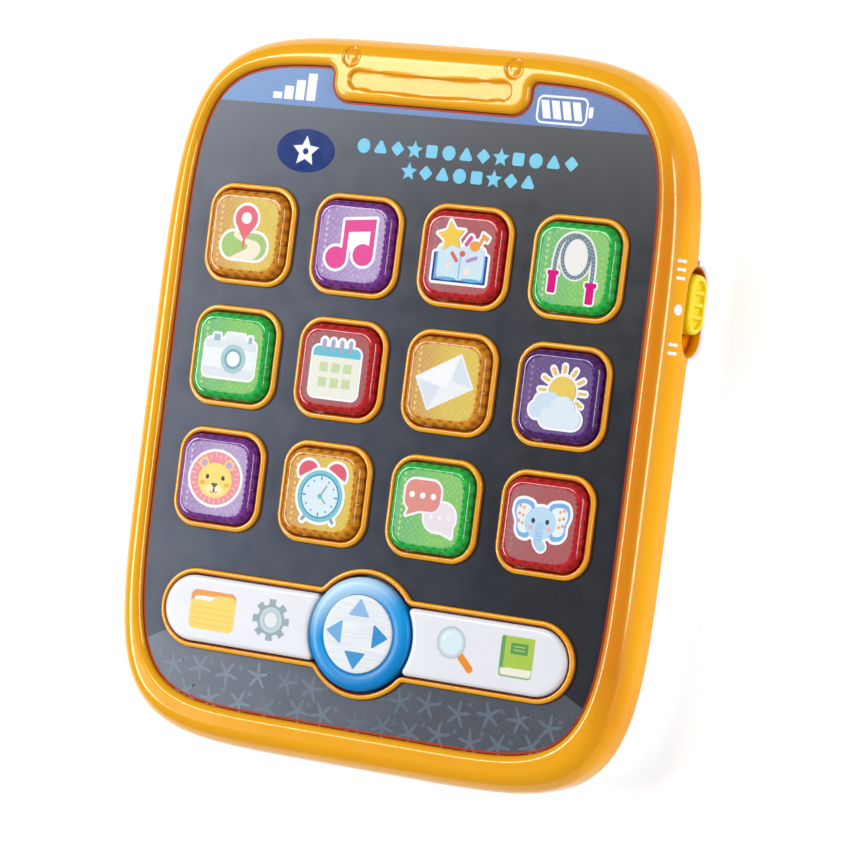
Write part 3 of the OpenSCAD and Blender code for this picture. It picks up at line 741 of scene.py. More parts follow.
ORANGE = orange_material()
FACE = face_material()
WHITE = plastic("white_plastic", "E9EBF0", "E4E7ED", 0.36, grain_strength=0.16)
KEY_WHITE = plastic("key_plastic", "E6E7ED", "E2E4EB", 0.2, coat=0.25, grain_strength=0.03, subsurface=0.05)
BLUE = pad_material()
YELLOW = plastic("slider_plastic", "F4D910", "F0D20A", 0.24, coat=0.05, grain_strength=0.05, tint="FFF0A0")
# Dark red of the band along the rim: painted shadow and reflection of the rim.
RIM_SHADE_RED = plastic("painted_rim_shade", "AC3408", "A43006", 0.35, specular=0.15)
BLACK = plastic("black_plastic", "101113", "17181B", 0.42)
SILICONE = plastic("silicone", "D9DBD6", "CDD0CA", 0.5, grain_strength=0.2, subsurface=0.2)
PAPER = plastic("speaker_paper", "141414", "1E1D1C", 0.85, grain=900, grain_strength=0.7)
LED = plastic("led_lens", "F3F0D8", "ECE8C8", 0.15, coat=0.5, subsurface=0.2)
WIRE = plastic("wire_skin", "A8150F", "981009", 0.4, grain=1500)
STEEL = metal("zinc_steel", "B4B8BE", 0.3, (1, 6, 1))
MAGNET = metal("plated_magnet", "7C7F86", 0.38)
BRASS = metal("turned_brass", "C9A24E", 0.3, (1, 1, 12))
DISC = brushed_disc()
BOARD = board_material()
CELL = cell_material()
INK = ink_material()
CAPS = {
    "amber_clear": cap_material("amber_clear", "CB9B60", "DAC060", "F5E282", "C47E16", "864608", "E8B42C"),
    "lilac_clear": cap_material("lilac_clear", "A58CBC", "B6A2CA", "E6D4F0", "6C2C80", "461456", "9658A8"),
    "red_clear": cap_material("red_clear", "A06A70", "A85E62", "CC7A74", "AE161C", "7A080C", "D0443C"),
    "green_clear": cap_material("green_clear", "72B880", "86C470", "DCEC82", "1AA23C", "0A7630", "68C44C"),
    "violet_clear": cap_material("violet_clear", "6A5684", "665286", "A486C8", "461C62", "260C3E", "7A3C90"),
}


# ---- camera, floor and light ----
def studio():
    right = Vector((0.86686, 0.12537, -0.48254))
    up = Vector((-0.11121, 0.99211, 0.05798))
    back = right.cross(up).normalized()
    camera = placed("camera", bpy.data.cameras.new("camera"))
    camera.data.lens = 165.3
    camera.data.sensor_width = 36
    camera.data.clip_start = 0.05
    aim = Matrix((right, up, back)).transposed().to_4x4()
    camera.matrix_world = Matrix.Translation((0.5904, 0.0006, 1.0701)) @ aim
    bpy.context.scene.camera = camera

    floor = placed("floor", bpy.data.meshes.new("floor"))
    reach = 4.0
    corners = [(-reach, -reach, 0), (reach, -reach, 0), (reach, reach, 0), (-reach, reach, 0)]
    floor.data.from_pydata(corners, [], [(0, 1, 2, 3)])
    f = Finish("pale_floor", 0.6, specular=0.2)
    f.colour(f.mix(f.ramp(f.noise(3, 2), 0.3, 0.7), "F4F4F4", "F6F6F6"))
    f.feed("Emission Color", (1.0, 1.0, 1.0, 1.0))
    f.feed("Emission Strength", 0.38)
    floor.data.materials.append(f.mat)

    # name, place, where it aims, width and height, power
    for name, place, aim, size, power in (
            ("left_softbox", (-1.17, 0.0, 1.23), (0, 0, 0), (1.0, 0.34), 16.5),
            ("top_softbox", (-0.77, 0.335, 1.39), (-0.77, 0, 0), (0.9, 0.24), 8.5),
            ("right_strip", (1.5, 0.3, 0.75), (0, 0, 0.02), (1.0, 0.18), 11),
            ("right_softbox", (1.5, 0.1, 0.25), (0, 0, 0.02), (1.8, 0.4), 3)):
        light = bpy.data.lights.new(name, "AREA")
        light.shape = "RECTANGLE"
        light.size, light.size_y = size
        light.energy = power
        lamp = placed(name, light)
        lamp.location = place
        lamp.rotation_mode = "QUATERNION"
        lamp.rotation_quaternion = (Vector(aim) - Vector(place)).to_track_quat("-Z", "Y")

    world = bpy.data.worlds.new("studio")
    world.use_nodes = True
    background = world.node_tree.nodes["Background"]
    background.inputs["Color"].default_value = (1.0, 1.0, 1.0, 1.0)
    background.inputs["Strength"].default_value = 0.28
    bpy.context.scene.world = world
    bpy.context.scene.view_settings.view_transform = "Standard"


# ---- case ----
def bead(width, rise, base):
    """Profile (inset, height) of a rounded collar that stands on the deck."""
    half = width * 0.48
    out = [(0, base)]
    for a in np.linspace(0, math.pi, 17):
        c, s = math.cos(a), math.sin(a)
        reach = half if c > 0 else width - half
        inset = half - math.copysign(reach * abs(c) ** 0.75, c)
        out.append((inset, FACE_Z + 0.25 + (rise - 0.25) * s ** 0.75))
    return out + [(width, base)]


def square_outline(app, size, corner, n=14):
    """Outline round an app's button, as a function of its inset."""
    at = middle(app + "_button")
    return lambda inset: rounded(size - 2 * inset, size - 2 * inset, corner - inset, at.x, at.y, n)


def collar_outline(app):
    return square_outline(app, COLLAR_W, COLLAR_R)


def bar_outline(inset):
    """Outline of the bar's collar: a stadium with a round swelling in the middle, all fillets round."""
    end_r = BAR_H / 2
    fillet = 2.0
    fy = end_r + fillet
    fx = math.sqrt((PAD_COLLAR_R + fillet) ** 2 - fy ** 2)
    lean = math.degrees(math.atan2(fy, fx))
    end_x = BAR_W / 2 - end_r
    right = np.concatenate([
        arc(end_x, 0, end_r - inset, 0, 90, 18), arc(fx, fy, fillet + inset, 270, 180 + lean, 8),
        arc(0, 0, PAD_COLLAR_R - inset, lean, 90, 18)])
    quarter = right[:-1]
    left = (quarter * np.array([-1, 1]))[::-1]
    top = np.concatenate([quarter, right[-1:], left[:-1]])
    low = -top
    return np.concatenate([top, low]) + np.array([0, BAR_Y])


def standing(outline, x):
    """Outline in Y and Z at a place along X."""
    return np.column_stack([np.full(len(outline), x), outline])


def slot_ring(extra, x):
    """Outline of a slider's opening, grown by extra."""
    w, h = SLOT_W + 2 * extra, SLOT_H + 2 * extra
    return standing(rounded(w, h, SLOT_H / 2 + extra, SLOT_Y, SLOT_Z, 14), x)


def slot_bar(x0, x1, grow_by, flare=0.0):
    """Rounded bar along X through a slider's opening; flare widens its outer end."""
    if not flare:
        return loft([slot_ring(grow_by, x0), slot_ring(grow_by, x1)])
    lip_x, lip_w = CASE_W - 1.2, 1.2
    lip = [(grow_by, x0), (grow_by, lip_x)] + rounding(grow_by, lip_x, flare, lip_w, 6)[:-1]
    return loft([slot_ring(extra, x) for extra, x in lip + [(grow_by + flare + 0.3, x1)]])


def build_housing():
    # rows of points across the rim, closest where its edges roll over
    steps = math.pi * np.linspace(0, 1, 52)
    steps = 0.5 - 0.5 * np.cos(steps) * (1 - 0.35 * np.sin(steps))
    steps[0], steps[-1] = 0.0, 1.0
    rows = [blend_ring(s) for s in steps]
    heights = rim_height(np.concatenate(rows)).reshape(len(rows), -1)
    rings = [at_height(OUTER, z) for z in (SEAM_Z + 0.35, SEAM_Z + 1.2, SEAM_Z + 3.5)]
    rings = [at_height(blend_ring(0.04), SEAM_Z)] + rings
    rings += [np.column_stack([row, h]) for row, h in zip(rows, heights)]
    rings += [at_height(INNER, z) for z in (FACE_Z - 1.2, DECK_Z)]
    under = [(0.8, DECK_Z), (0.74, FACE_Z - 0.5), (0.55, FACE_Z - 0.4), (0.4, FACE_Z - 1.2),
             (0.3, FACE_Z - 4), (0.26, FACE_Z - 6.5), (0.26, SEAM_Z)]
    rings += [at_height(blend_ring(s), z) for s, z in under]
    rim = piece("rim", [loft(rings, closed=True)], ORANGE)
    opening = slot_bar(TONGUE_X - 4, CASE_W + 3, 0, SLOT_LIP)
    cut(rim, [opening])
    cut(rim, mirrored([opening]))

    holes = [square_outline(app, CAP_W, CAP_R, 12)(-0.4) for app in PICTURES]
    deck = prism([blend_ring(0.97)[::2]] + holes + [bar_outline(BAR_T)], DECK_Z, DECK_TOP)
    collars = [sweep(collar_outline(app), bead(COLLAR_T, COLLAR_RISE, DECK_Z), closed=True)
               for app in PICTURES]
    collars.append(sweep(bar_outline, bead(BAR_T, COLLAR_RISE, DECK_Z), closed=True))
    posts = [tube(at, 3.8, 1.5, 8.2, DECK_Z + 0.3) for at in BOSSES]
    posts += [tube(at, 2.6, 1.05, FACE_Z - 9.4, DECK_Z + 0.3) for at in POSTS]
    tongue = slot_bar(TONGUE_X, TONGUE_X + TONGUE_T, 1.2)
    lip = CASE_W - 0.5
    section = [(-0.05, TONGUE_X + 0.5), (-0.05, lip - 0.2), (-0.1, lip), (-0.25, lip), (-0.35, lip - 0.2),
               (-0.35, TONGUE_X + 0.5)]
    sleeve = loft([slot_ring(extra, x) for extra, x in section], closed=True)
    inner = piece("inner", [deck] + collars + posts + [sleeve] + mirrored([sleeve]), ORANGE)
    tongues = piece("tongues", [tongue] + mirrored([tongue]), ORANGE)
    slit = box(TONGUE_X - 2, SLIDER.y - 9.6, TONGUE_X + 3, SLIDER.y + 3.6)
    slit = prism([slit], SLOT_Z - 1.9, SLOT_Z + 1.9)
    cut(tongues, [slit] + mirrored([slit]))
    housing = join("front_shell", [rim, inner, tongues])
    soften(housing, 40)
    settle(housing, "case", "orange_shell", "front_housing")


def build_face():
    gap = 0.12
    edge = INNER - gap * np.sign(INNER - np.array([0, GRID_Y]))
    holes = [collar_outline(app)(-gap) for app in PICTURES]
    plate = prism([edge] + holes + [bar_outline(-gap)], DECK_TOP, FACE_Z)
    thing = piece("printed_face", [plate], FACE)
    settle(thing, "case", "dark_face", "faceplate")


def build_rear():
    # section of the shell: how far it is from the case's edge towards the face's, and its height
    bowl = [(2.2, 0.0), (1.9, 0.12), (1.65, 0.45), (1.38, 1.0), (1.15, 1.8), (0.93, 2.9), (0.72, 4.2),
            (0.55, 5.6), (0.4, 7.2), (0.28, 8.8), (0.18, 10.4), (0.1, 12.0), (0.06, 13.4),
            (0.04, SEAM_Z - 0.45), (0.06, SEAM_Z - SEAM_GAP), (0.3, SEAM_Z - SEAM_GAP), (0.3, SEAM_Z + 2.4),
            (0.42, SEAM_Z + 2.4), (0.42, 13.2), (0.56, 9.8), (0.78, 6.9), (1.1, 4.4), (1.5, 2.8), (2.15, 2.2)]
    # the plain edge, without the dip round the raised pad, guides the back
    k = even(outer_pt, 0, 2 * math.pi, 361)[:-1]
    outer, inner = outer_pt(k), face_pt(k)
    rings = [at_height(outer * (1 - s) + inner * s, z) for s, z in bowl]
    door, screw, speaker, bay = (middle(node) for node in
                                 ("battery_door", "door_screw", "speaker_magnet", "batteries"))
    door_size = (high("battery_door") - low("battery_door")) + Vector((0.6, 0.6, 0))
    recess = prism([rounded(door_size.x, door_size.y, 4.3, door.x, door.y)], -1, high("battery_door").z)
    hollow = prism([box(-27, bay.y - 17.5, 27, bay.y + 17.5, 1.2)], -1, 14)
    bore = rod((screw.x, screw.y), 2.25, -1, 9)
    spots = [(speaker.x, speaker.y)]
    for lap in (1, 2, 3):
        spots += list(disc(speaker.x, speaker.y, 5 * lap, n=6 * lap))
    grille = [rod(spot, 1.2, -1, 4, 20) for spot in spots]
    wells = [rod(at, 3.1, -1, 5.05) for at in BOSSES]
    opening = slot_bar(TONGUE_X - 1, CASE_W + 3, 0, SLOT_LIP)

    cover = piece("cover", [loft(rings)], WHITE)
    bulge = slot_bar(CASE_W - 9, CASE_W - 0.02, 1.9)
    points = bulge[0].copy()
    points[:, 2] = np.minimum(points[:, 2], SEAM_Z - SEAM_GAP)
    bulge = (points, bulge[1])
    lumps = piece("lumps", [bulge] + mirrored([bulge]), WHITE)
    for thing in (cover, lumps):
        cut(thing, [opening])
        cut(thing, mirrored([opening]))
    cut(cover, wells + grille)
    cut(cover, [recess])
    cut(cover, [hollow])
    block = piece("block", [prism([box(-32, door.y - 27, 32, door.y + 27, 2)], 0.4, 15.2)], WHITE)
    for part in ([recess], [hollow], [bore]):
        cut(block, part)
    bosses = piece("bosses", [tube(at, 4.5, 3.1, 1.5, 5) for at in BOSSES]
                   + [tube(at, 4.5, 1.75, 5, 8.1) for at in BOSSES]
                   + [tube((speaker.x, speaker.y), 22, 20.4, 2, 5)], WHITE)
    rear = join("back_shell", [cover, lumps, block, bosses])
    soften(rear, 30)
    settle(rear, "case", "white_shell", "rear_cover")


def build_door():
    at, size = middle("battery_door"), high("battery_door") - low("battery_door")
    screw = middle("door_screw")
    z0, z1 = low("battery_door").z, high("battery_door").z
    edge = lambda inset: rounded(size.x - 2 * inset, size.y - 2 * inset, 4 - inset, at.x, at.y)
    plate = sweep(edge, [(0.9, z0), (0.35, z0 + 0.12), (0.08, z0 + 0.4), (0, z0 + 0.8), (0, z1)])
    door = piece("bay_lid", [plate], WHITE)
    head_r, hole_r, axis_r, step = 2.75, 1.35, 0.01, z0 + 1.15
    well = [(head_r, z0 - 1), (head_r, step), (hole_r, step), (hole_r, z1 + 1), (axis_r, z1 + 1),
            (axis_r, z0 - 1)]
    cut(door, [lathe(well, (screw.x, screw.y))])
    grips = [capsule(at.x - 7, y, at.x + 7, y, 1.1) for y in (at.y + 16, at.y + 18.4, at.y + 20.8)]
    cut(door, [prism([grip], z0 - 1, z0 + 0.5) for grip in grips])
    soften(door, 30)
    settle(door, "battery_door", "white_shell", "battery_door")


# ---- buttons, keys and pad ----
def slot_of(node):
    """The record's material slot of a CAD node."""
    return next(part["material_slot"] for part in frame["record"]["subparts"] if part["node"] == node)


def build_cap(app):
    node = app + "_button"
    at = middle(node)
    base = low(node).z
    flange = DECK_Z - 1.3
    outline = lambda inset: rounded(CAP_W - 2 * inset, CAP_W - 2 * inset, CAP_R - 0.8 * inset, at.x, at.y, 14)
    bevel_z = FACE_Z + 1.5
    wall = [(1.6, CAP_TOP - 2.1), (1.6, flange), (-1.9, flange), (-1.9, flange + 1.2), (0, flange + 1.2)]
    wall += [(0, bevel_z)]
    wall += rounding(0, bevel_z, CAP_BEVEL, CAP_TOP - bevel_z, 8, 1.05)
    wall += [(CAP_BEVEL + 0.5, CAP_TOP), (CAP_BEVEL + 2, CAP_TOP)]
    stems = [rod((at.x + side * 8, at.y), 2.2, base, CAP_TOP - 2) for side in (-1, 1)]
    slot = slot_of(node)
    cap = piece(app + "_cap", [sweep(outline, wall)] + stems, CAPS[slot], at=(at.x, at.y, CAP_TOP))
    settle(cap, node, slot, node)


def key_outline(inset, hollow, side):
    """Outline of a long key: a half stadium whose inner end is hollowed round the pad."""
    r, h = hollow + inset, KEY_END_R - inset
    nose = max(1.3 - inset, 0.05)
    y = h - nose
    x = math.sqrt((r + nose) ** 2 - y ** 2)
    lean = math.degrees(math.atan2(y, x))
    loop = np.concatenate([
        arc(KEY_END_X, 0, h, -90, 90, 28), arc(x, y, nose, 90, 180 + lean, 8),
        arc(0, 0, r, lean, -lean, 28), arc(x, -y, nose, 180 - lean, 270, 8)])
    return loop * np.array([side, 1]) + np.array([0, BAR_Y])


def build_key(name, side):
    flange, nose_r, low_r = DECK_Z - 2.8, PAD_R + 0.85, PAD_R + 2.9
    skirt = [(1.6, KEY_TOP - 2), (1.6, flange), (-1.1, flange), (-1.1, flange + 1.2), (0, flange + 1.2),
             (0, DECK_Z + 1.2)]
    bevel = 1.15
    cap = [(0, DECK_Z + 1.3), (0, KEY_TOP - bevel)] + rounding(0, KEY_TOP - bevel, 1.5, bevel, 7)
    cap += [(1.8, KEY_TOP)]
    levels = [(inset, z, low_r) for inset, z in skirt] + [(inset, z, nose_r) for inset, z in cap]
    body = loft([at_height(key_outline(inset, r, side), z) for inset, z, r in levels])
    ridge_r, ridge_half = 1.5, 8.9
    axis_x, axis_z = side * 45, low(name).z + ridge_r
    ridge = laid_down(rod((axis_x, axis_z), ridge_r, -ridge_half, ridge_half), BAR_Y)
    web = box(axis_x - 0.8, BAR_Y - ridge_half, axis_x + 0.8, BAR_Y + ridge_half)
    web = prism([web], axis_z, KEY_TOP - 1.8)
    stems = [rod((axis_x + s * 18, BAR_Y), 2.2, DECK_Z - 2.55, KEY_TOP - 1.8) for s in (-1, 1)]
    key = piece(name + "_cap", [body, ridge, web] + stems, KEY_WHITE)
    settle(key, name, "key_white", name)


def build_pad():
    skirt = DECK_Z - 2.8
    shoulder, top = FACE_Z + 1.8, FACE_Z + 3.55
    rest, bore, seat_r = FACE_Z + 1.6, 9.2, DISC_R + 0.15
    profile = [(bore, skirt), (19.6, skirt), (19.6, skirt + 1), (PAD_R, skirt + 1), (PAD_R, shoulder)]
    profile += rounding(PAD_R, shoulder, -3.2, top - shoulder, 14, 1.3)
    profile += [(13.6, top - 0.06), (12.9, top - 0.22), (12.4, top - 0.5), (seat_r, top - 0.7)]
    profile += [(seat_r, rest), (bore, rest)]
    ring = piece("pad_ring", [lathe(profile, (0, BAR_Y), 160)], BLUE)
    settle(ring, "dpad", "pad_blue", "dpad_ring")
    plate = [(0, rest), (DISC_R, rest), (DISC_R, DISC_TOP - 0.45)]
    plate += rounding(DISC_R, DISC_TOP - 0.45, -0.4, 0.4, 5)
    plate += [(DISC_R - 1.2, DISC_TOP - 0.02), (0, DISC_TOP)]
    pivot_z, socket_r, cup_r = middle("dpad_pivot_ball").z, 2.3, 3.6
    cup = [(0, rest + 0.1), (0, pivot_z + socket_r)]
    cup += [(socket_r * math.sin(a), pivot_z + socket_r * math.cos(a)) for a in quarter(7)]
    cup += [(cup_r, pivot_z), (cup_r, rest + 0.1)]
    shells = [lathe(plate, (0, BAR_Y), 160, closed=False), lathe(cup, (0, BAR_Y))]
    shells += [rod(spot, 1.6, DECK_Z - 0.95, rest + 0.1) for spot in disc(0, BAR_Y, 7, n=4)]
    settle(piece("pad_disc", shells, DISC), "dpad", "pad_pearl", "dpad_disc")


def build_slider(name, side):
    x0, x1 = TONGUE_X + TONGUE_T + 0.2, high("language_slider").x

    def across(profile, w, h, r, z, n):
        """Solid along X through rounded outlines that are grown by the profile's first figure."""
        return loft([standing(rounded(w + 2 * extra, h + 2 * extra, r + extra, SLIDER.y, z, n), x)
                     for extra, x in profile])

    body = [(0, x0), (0, x1 - 1.6)] + rounding(0, x1 - 1.6, -1.3, 1.6, 7)
    knob = piece("knob", [across(body, KNOB_W, KNOB_H, 5, SLOT_Z, 12)], YELLOW)
    window = [(-0.5, x1 - 1.5), (-0.15, x1 - 1.25), (0, x1 - 0.7), (0.05, x1 - 0.3), (0.4, x1 + 0.1),
              (0.6, x1 + 1)]
    cut(knob, [across(window, WINDOW_W, WINDOW_H, 3, SLOT_Z - 0.3, 10)])
    ribs = []
    for y in (SLIDER.y - 3.7, SLIDER.y, SLIDER.y + 3.7):
        section = [(x1 - 1.6, 1.7), (x1 - 0.5, 1.5), (x1 - 0.2, 1.1), (x1 - 0.12, 0.5)]
        ribs.append(loft([standing(capsule(y, SLOT_Z - 2.9, y, SLOT_Z + 2.3, w), x) for x, w in section]))
    stem = prism([box(TONGUE_X - 2.5, SLIDER.y - 3, x0 + 0.5, SLIDER.y + 3)], SLOT_Z - 1.5, SLOT_Z + 1.5)
    pad = prism([box(TONGUE_X - 2, SLIDER.y - 5, TONGUE_X - 0.3, SLIDER.y + 5)], SLOT_Z - 3, SLOT_Z + 3)
    rest = piece("rest", ribs + [stem, pad], YELLOW)
    knob = join(name + "_knob", [knob, rest])
    if side < 0:
        knob.data.transform(Matrix.Scale(-1, 4, (1, 0, 0)))
        knob.data.flip_normals()
    soften(knob, 40)
    settle(knob, name, "slider_yellow", name)


# ---- printed pictures ----
PAPER_WHITE = "F7F8FA"
SIGN_WHITE = "F2F4F8"
BADGE_BLUE = "002A74"


class Print:
    """Thin printed shapes on a flat surface; each layer lies one ink step above the last."""

    def __init__(self, x, y, z):
        self.at, self.z, self.layer, self.shells, self.inks = (x, y), z, 0, [], []

    def fill(self, tone, *loops):
        """One shape: an outline, and any holes."""
        z0 = self.z + INK_STEP * self.layer
        made = prism([np.asarray(loop, float) + self.at for loop in loops], z0, z0 + 2 * INK_STEP)
        self.shells.append(made)
        self.inks += [srgb(tone)] * len(made[1])
        self.layer += 1

    def each(self, tone, loops):
        """Shapes of one colour that don't overlap, all on one layer."""
        layer = self.layer
        for loop in loops:
            self.layer = layer
            self.fill(tone, loop)

    def stack(self, tone, loops):
        """Shapes of one colour that may overlap, each on a layer of its own."""
        for loop in loops:
            self.fill(tone, loop)

    def halo(self, by, *loops):
        """White border round shapes that may overlap."""
        self.stack(PAPER_WHITE, [grow(loop, by) for loop in loops])

    def discs(self, x, y, *rows):
        """Discs about one middle, each on top of the one before."""
        for tone, r in rows:
            self.fill(tone, disc(x, y, r))

    def done(self, name, body, slot):
        thing = piece(name, self.shells, INK, ink=self.inks, at=(self.at[0], self.at[1], self.z))
        settle(thing, body, slot)


def tear(x, y, r, tip_x, tip_y):
    """Round head that narrows to a tip."""
    reach = math.hypot(tip_x - x, tip_y - y)
    aim = math.degrees(math.atan2(tip_y - y, tip_x - x))
    open_by = math.degrees(math.acos(r / reach))
    return np.concatenate([arc(x, y, r, aim + open_by, aim + 360 - open_by, 40), [[tip_x, tip_y]]])


def half_disc(x, y, r, aim):
    return arc(x, y, r, aim - 90, aim + 90, 24)


def draw_map(p):
    pin = tear(-0.1, 4.9, 4.1, -0.2, -2.3)
    land = box(-8.3, -8.0, 8.4, 0.4, 4.1)
    p.halo(0.9, land, pin)
    p.fill("A9CA7C", land)
    path = [(-4.9, -7.95), (-2.2, -6.4), (0.4, -5.1), (1.5, -3.9), (0.3, -2.9), (-2.1, -2.0), (-4.0, -1.0),
            (-3.8, 0.25), (-2.5, 0.35), (-1.2, -0.8), (1.6, -1.6), (4.3, -2.1), (6.0, -3.4), (6.3, -5.0),
            (5.2, -6.9), (3.6, -7.95)]
    p.fill("F4E9D3", spline(path, closed=False))
    p.stack("E8707F", [pin, capsule(-0.2, -1.6, -0.3, -4.1, 0.75)])
    p.fill("F7F5F3", disc(-0.1, 5.0, 1.85))


def draw_music(p):
    heads = [disc(-5.0, -4.4, 3.7, 3.45), disc(4.6, -2.8, 3.6, 3.4)]
    stems = [box(-3.0, -4.6, -1.3, 7.4, 0.1), box(6.5, -3.0, 8.15, 8.4, 0.1)]
    beam = [(-3.0, 7.45), (-3.0, 3.7), (8.15, 4.9), (8.15, 8.65)]
    p.halo(0.95, *heads, *stems, beam)
    p.fill(PAPER_WHITE, [(-1.5, 4.2), (6.6, 4.9), (6.6, -1.6), (2.2, -0.2), (-0.6, -2.6), (-1.5, -4.0)])
    p.stack("E4549C", heads + stems + [beam])


def draw_story(p):
    cover = box(-9.2, -8.2, 9.6, 0.7, 0.4)
    pages = box(-7.7, -7.4, 8.4, 2.9, 1.6)
    top_star = star(-3.8, 5.7, 4.9, 2.5, 5, 99)
    note = [disc(4.7, 3.4, 1.75, 1.6), capsule(5.9, 3.4, 7.5, 6.7, 0.95),
            np.array([(7.1, 7.5), (9.3, 6.3), (8.8, 5.1), (6.7, 6.0)])]
    dash = capsule(1.7, 3.7, 3.1, 5.9, 1.25)
    p.halo(0.85, cover, pages, top_star, dash, *note)
    p.fill("3B3C8E", cover)
    p.fill("62B2E2", box(-8.5, -7.6, 8.9, 0.5, 0.3))
    p.fill("CFE4F2", pages)
    p.each("62B2E2", [disc(-4.0, -7.25, 3.4, 0.55), disc(4.6, -7.25, 3.4, 0.55)])
    p.fill("79BDE6", capsule(0.2, -7.0, 0.2, 1.0, 0.4))
    p.each("F1E4D2", [disc(-4.1, -3.2, 0.95), disc(3.0, -4.6, 1.15)])
    p.each("E2695C", [capsule(-2.9, 0.7, -1.1, -1.5, 1.15), disc(0.7, 0.75, 0.95)])
    p.fill("B48CC8", capsule(2.7, -1.3, 5.5, -0.2, 1.1))
    p.fill("D9559B", dash)
    p.stack("EBA24C", note)
    p.fill("EFCB50", top_star)


def draw_rope(p):
    outer = spline([(-6.25, -1.6), (-6.1, 2.6), (-5.0, 6.9), (-2.2, 9.4), (1.2, 9.7), (4.4, 7.9), (6.3, 4.0),
                    (6.75, -0.5), (6.7, -4.4)], closed=False, n=8)
    loop = disc(0.6, 3.2, 4.6, 6.2)
    grips = [box(-7.9, -8.1, -5.3, -2.0, 0.5), box(-8.4, -2.7, -4.6, -1.3, 0.5),
             box(5.3, -10.6, 7.9, -5.0, 0.5), box(4.7, -5.6, 8.6, -4.1, 0.5)]
    p.stack("EFEDEB", [grow(loop, 1.1), stroke(outer, 2.6)])
    p.halo(0.6, *grips)
    ring = np.array([0.6, 3.2]) + (loop - [0.6, 3.2]) * [0.87, 0.9]
    p.fill("6F8590", grow(loop, 0.55), ring[::-1])
    p.fill("6F8590", stroke(outer, 1.2))
    twists = []
    for line in (outer, np.vstack([loop, loop[:1]])):
        run = resample(line, int(run_length(line)[-1] / 1.15))
        way = np.gradient(run, axis=0)
        lean = np.degrees(np.arctan2(way[:, 1], way[:, 0])) + 50
        for (x, y), a in zip(run[1:-1], np.radians(lean[1:-1])):
            dx, dy = 0.42 * math.cos(a), 0.42 * math.sin(a)
            twists.append(capsule(x - dx, y - dy, x + dx, y + dy, 0.3))
    p.each("9FB3BC", twists)
    p.stack("D9147F", grips)


def draw_camera(p):
    body = box(-9.4, -6.8, 9.2, 5.1, 1.8)
    hump = np.array([(-2.9, 4.6), (-1.6, 7.0), (4.6, 7.0), (5.4, 4.6)])
    knobs = [box(-6.6, 4.5, -4.3, 6.6), box(6.3, 4.5, 7.5, 6.6)]
    p.halo(0.8, body, hump, *knobs)
    p.fill("E3EAEB", hump)
    p.fill("DCE6E8", body)
    p.fill("EBF3F4", box(-9.4, -3.9, 9.2, 2.2, 0.1))
    p.each("9ABDC7", knobs)
    p.discs(1.4, -0.8, ("ACCCD3", 4.6), ("7FA9BA", 3.2), ("F1F7F7", 2.4))


def draw_calendar(p):
    page = box(-8.6, -9.0, 8.5, 6.7, 1.9)
    rings = [capsule(x, 5.8, x, 8.4, 1.4) for x in (-5.0, -1.8, 1.4, 4.6)]
    p.halo(0.75, page)
    p.halo(0.9, *rings)
    p.fill("ECEBDF", page)
    p.fill("6EC1D3", np.concatenate([[(-8.6, 3.7), (8.5, 3.7)], arc(6.6, 4.8, 1.9, 0, 90, 8),
                                     arc(-6.7, 4.8, 1.9, 90, 180, 8)]))
    p.each("A7ADC8", rings)
    half = 1.45
    p.each("C9D9A8", [box(x - half, y - half, x + half, y + half, 0.15)
                      for x in (-4.3, 0.0, 4.3) for y in (0.3, -4.4)])


def draw_mail(p):
    sheet = np.array([(-10.2, 0.8), (4.9, 9.1), (10.2, -0.9), (-5.0, -9.0)]) * 0.985
    p.halo(0.25, sheet)
    p.fill("ECEFF3", sheet)
    p.stack("DBE3EE", [[(-9.4, 0.3), (-1.3, -1.7), (-4.8, -8.2)], [(4.8, 8.4), (2.5, 0.7), (9.5, -0.9)]])
    p.fill("F4F6F8", [(-9.6, 0.8), (4.7, 8.6), (1.0, -1.6)])


def draw_weather(p):
    rays = []
    for a in (-30, 0, 30, 60, 90, 120, 150, 180):
        c, s = math.cos(math.radians(a)), math.sin(math.radians(a))
        rays.append(capsule(1.7 + 5.9 * c, 1.5 + 5.9 * s, 1.7 + 7.7 * c, 1.5 + 7.7 * s, 0.85))
    sun = disc(1.7, 1.6, 4.5)
    back = [disc(-6.2, -4.7, 2.4), disc(-4.4, -2.2, 2.6), disc(-1.6, -2.1, 3.2)]
    front = [disc(2.6, -3.9, 4.1), disc(-2.0, -6.6, 2.9), disc(6.2, -6.7, 2.7),
             box(-2.0, -9.5, 6.2, -5.0, 0.4)]
    p.halo(0.8, *rays)
    p.halo(0.9, sun, *back, *front)
    p.stack("EBCB66", rays + [sun])
    p.stack("CFE1F1", back)
    p.stack("DEEAF4", front)


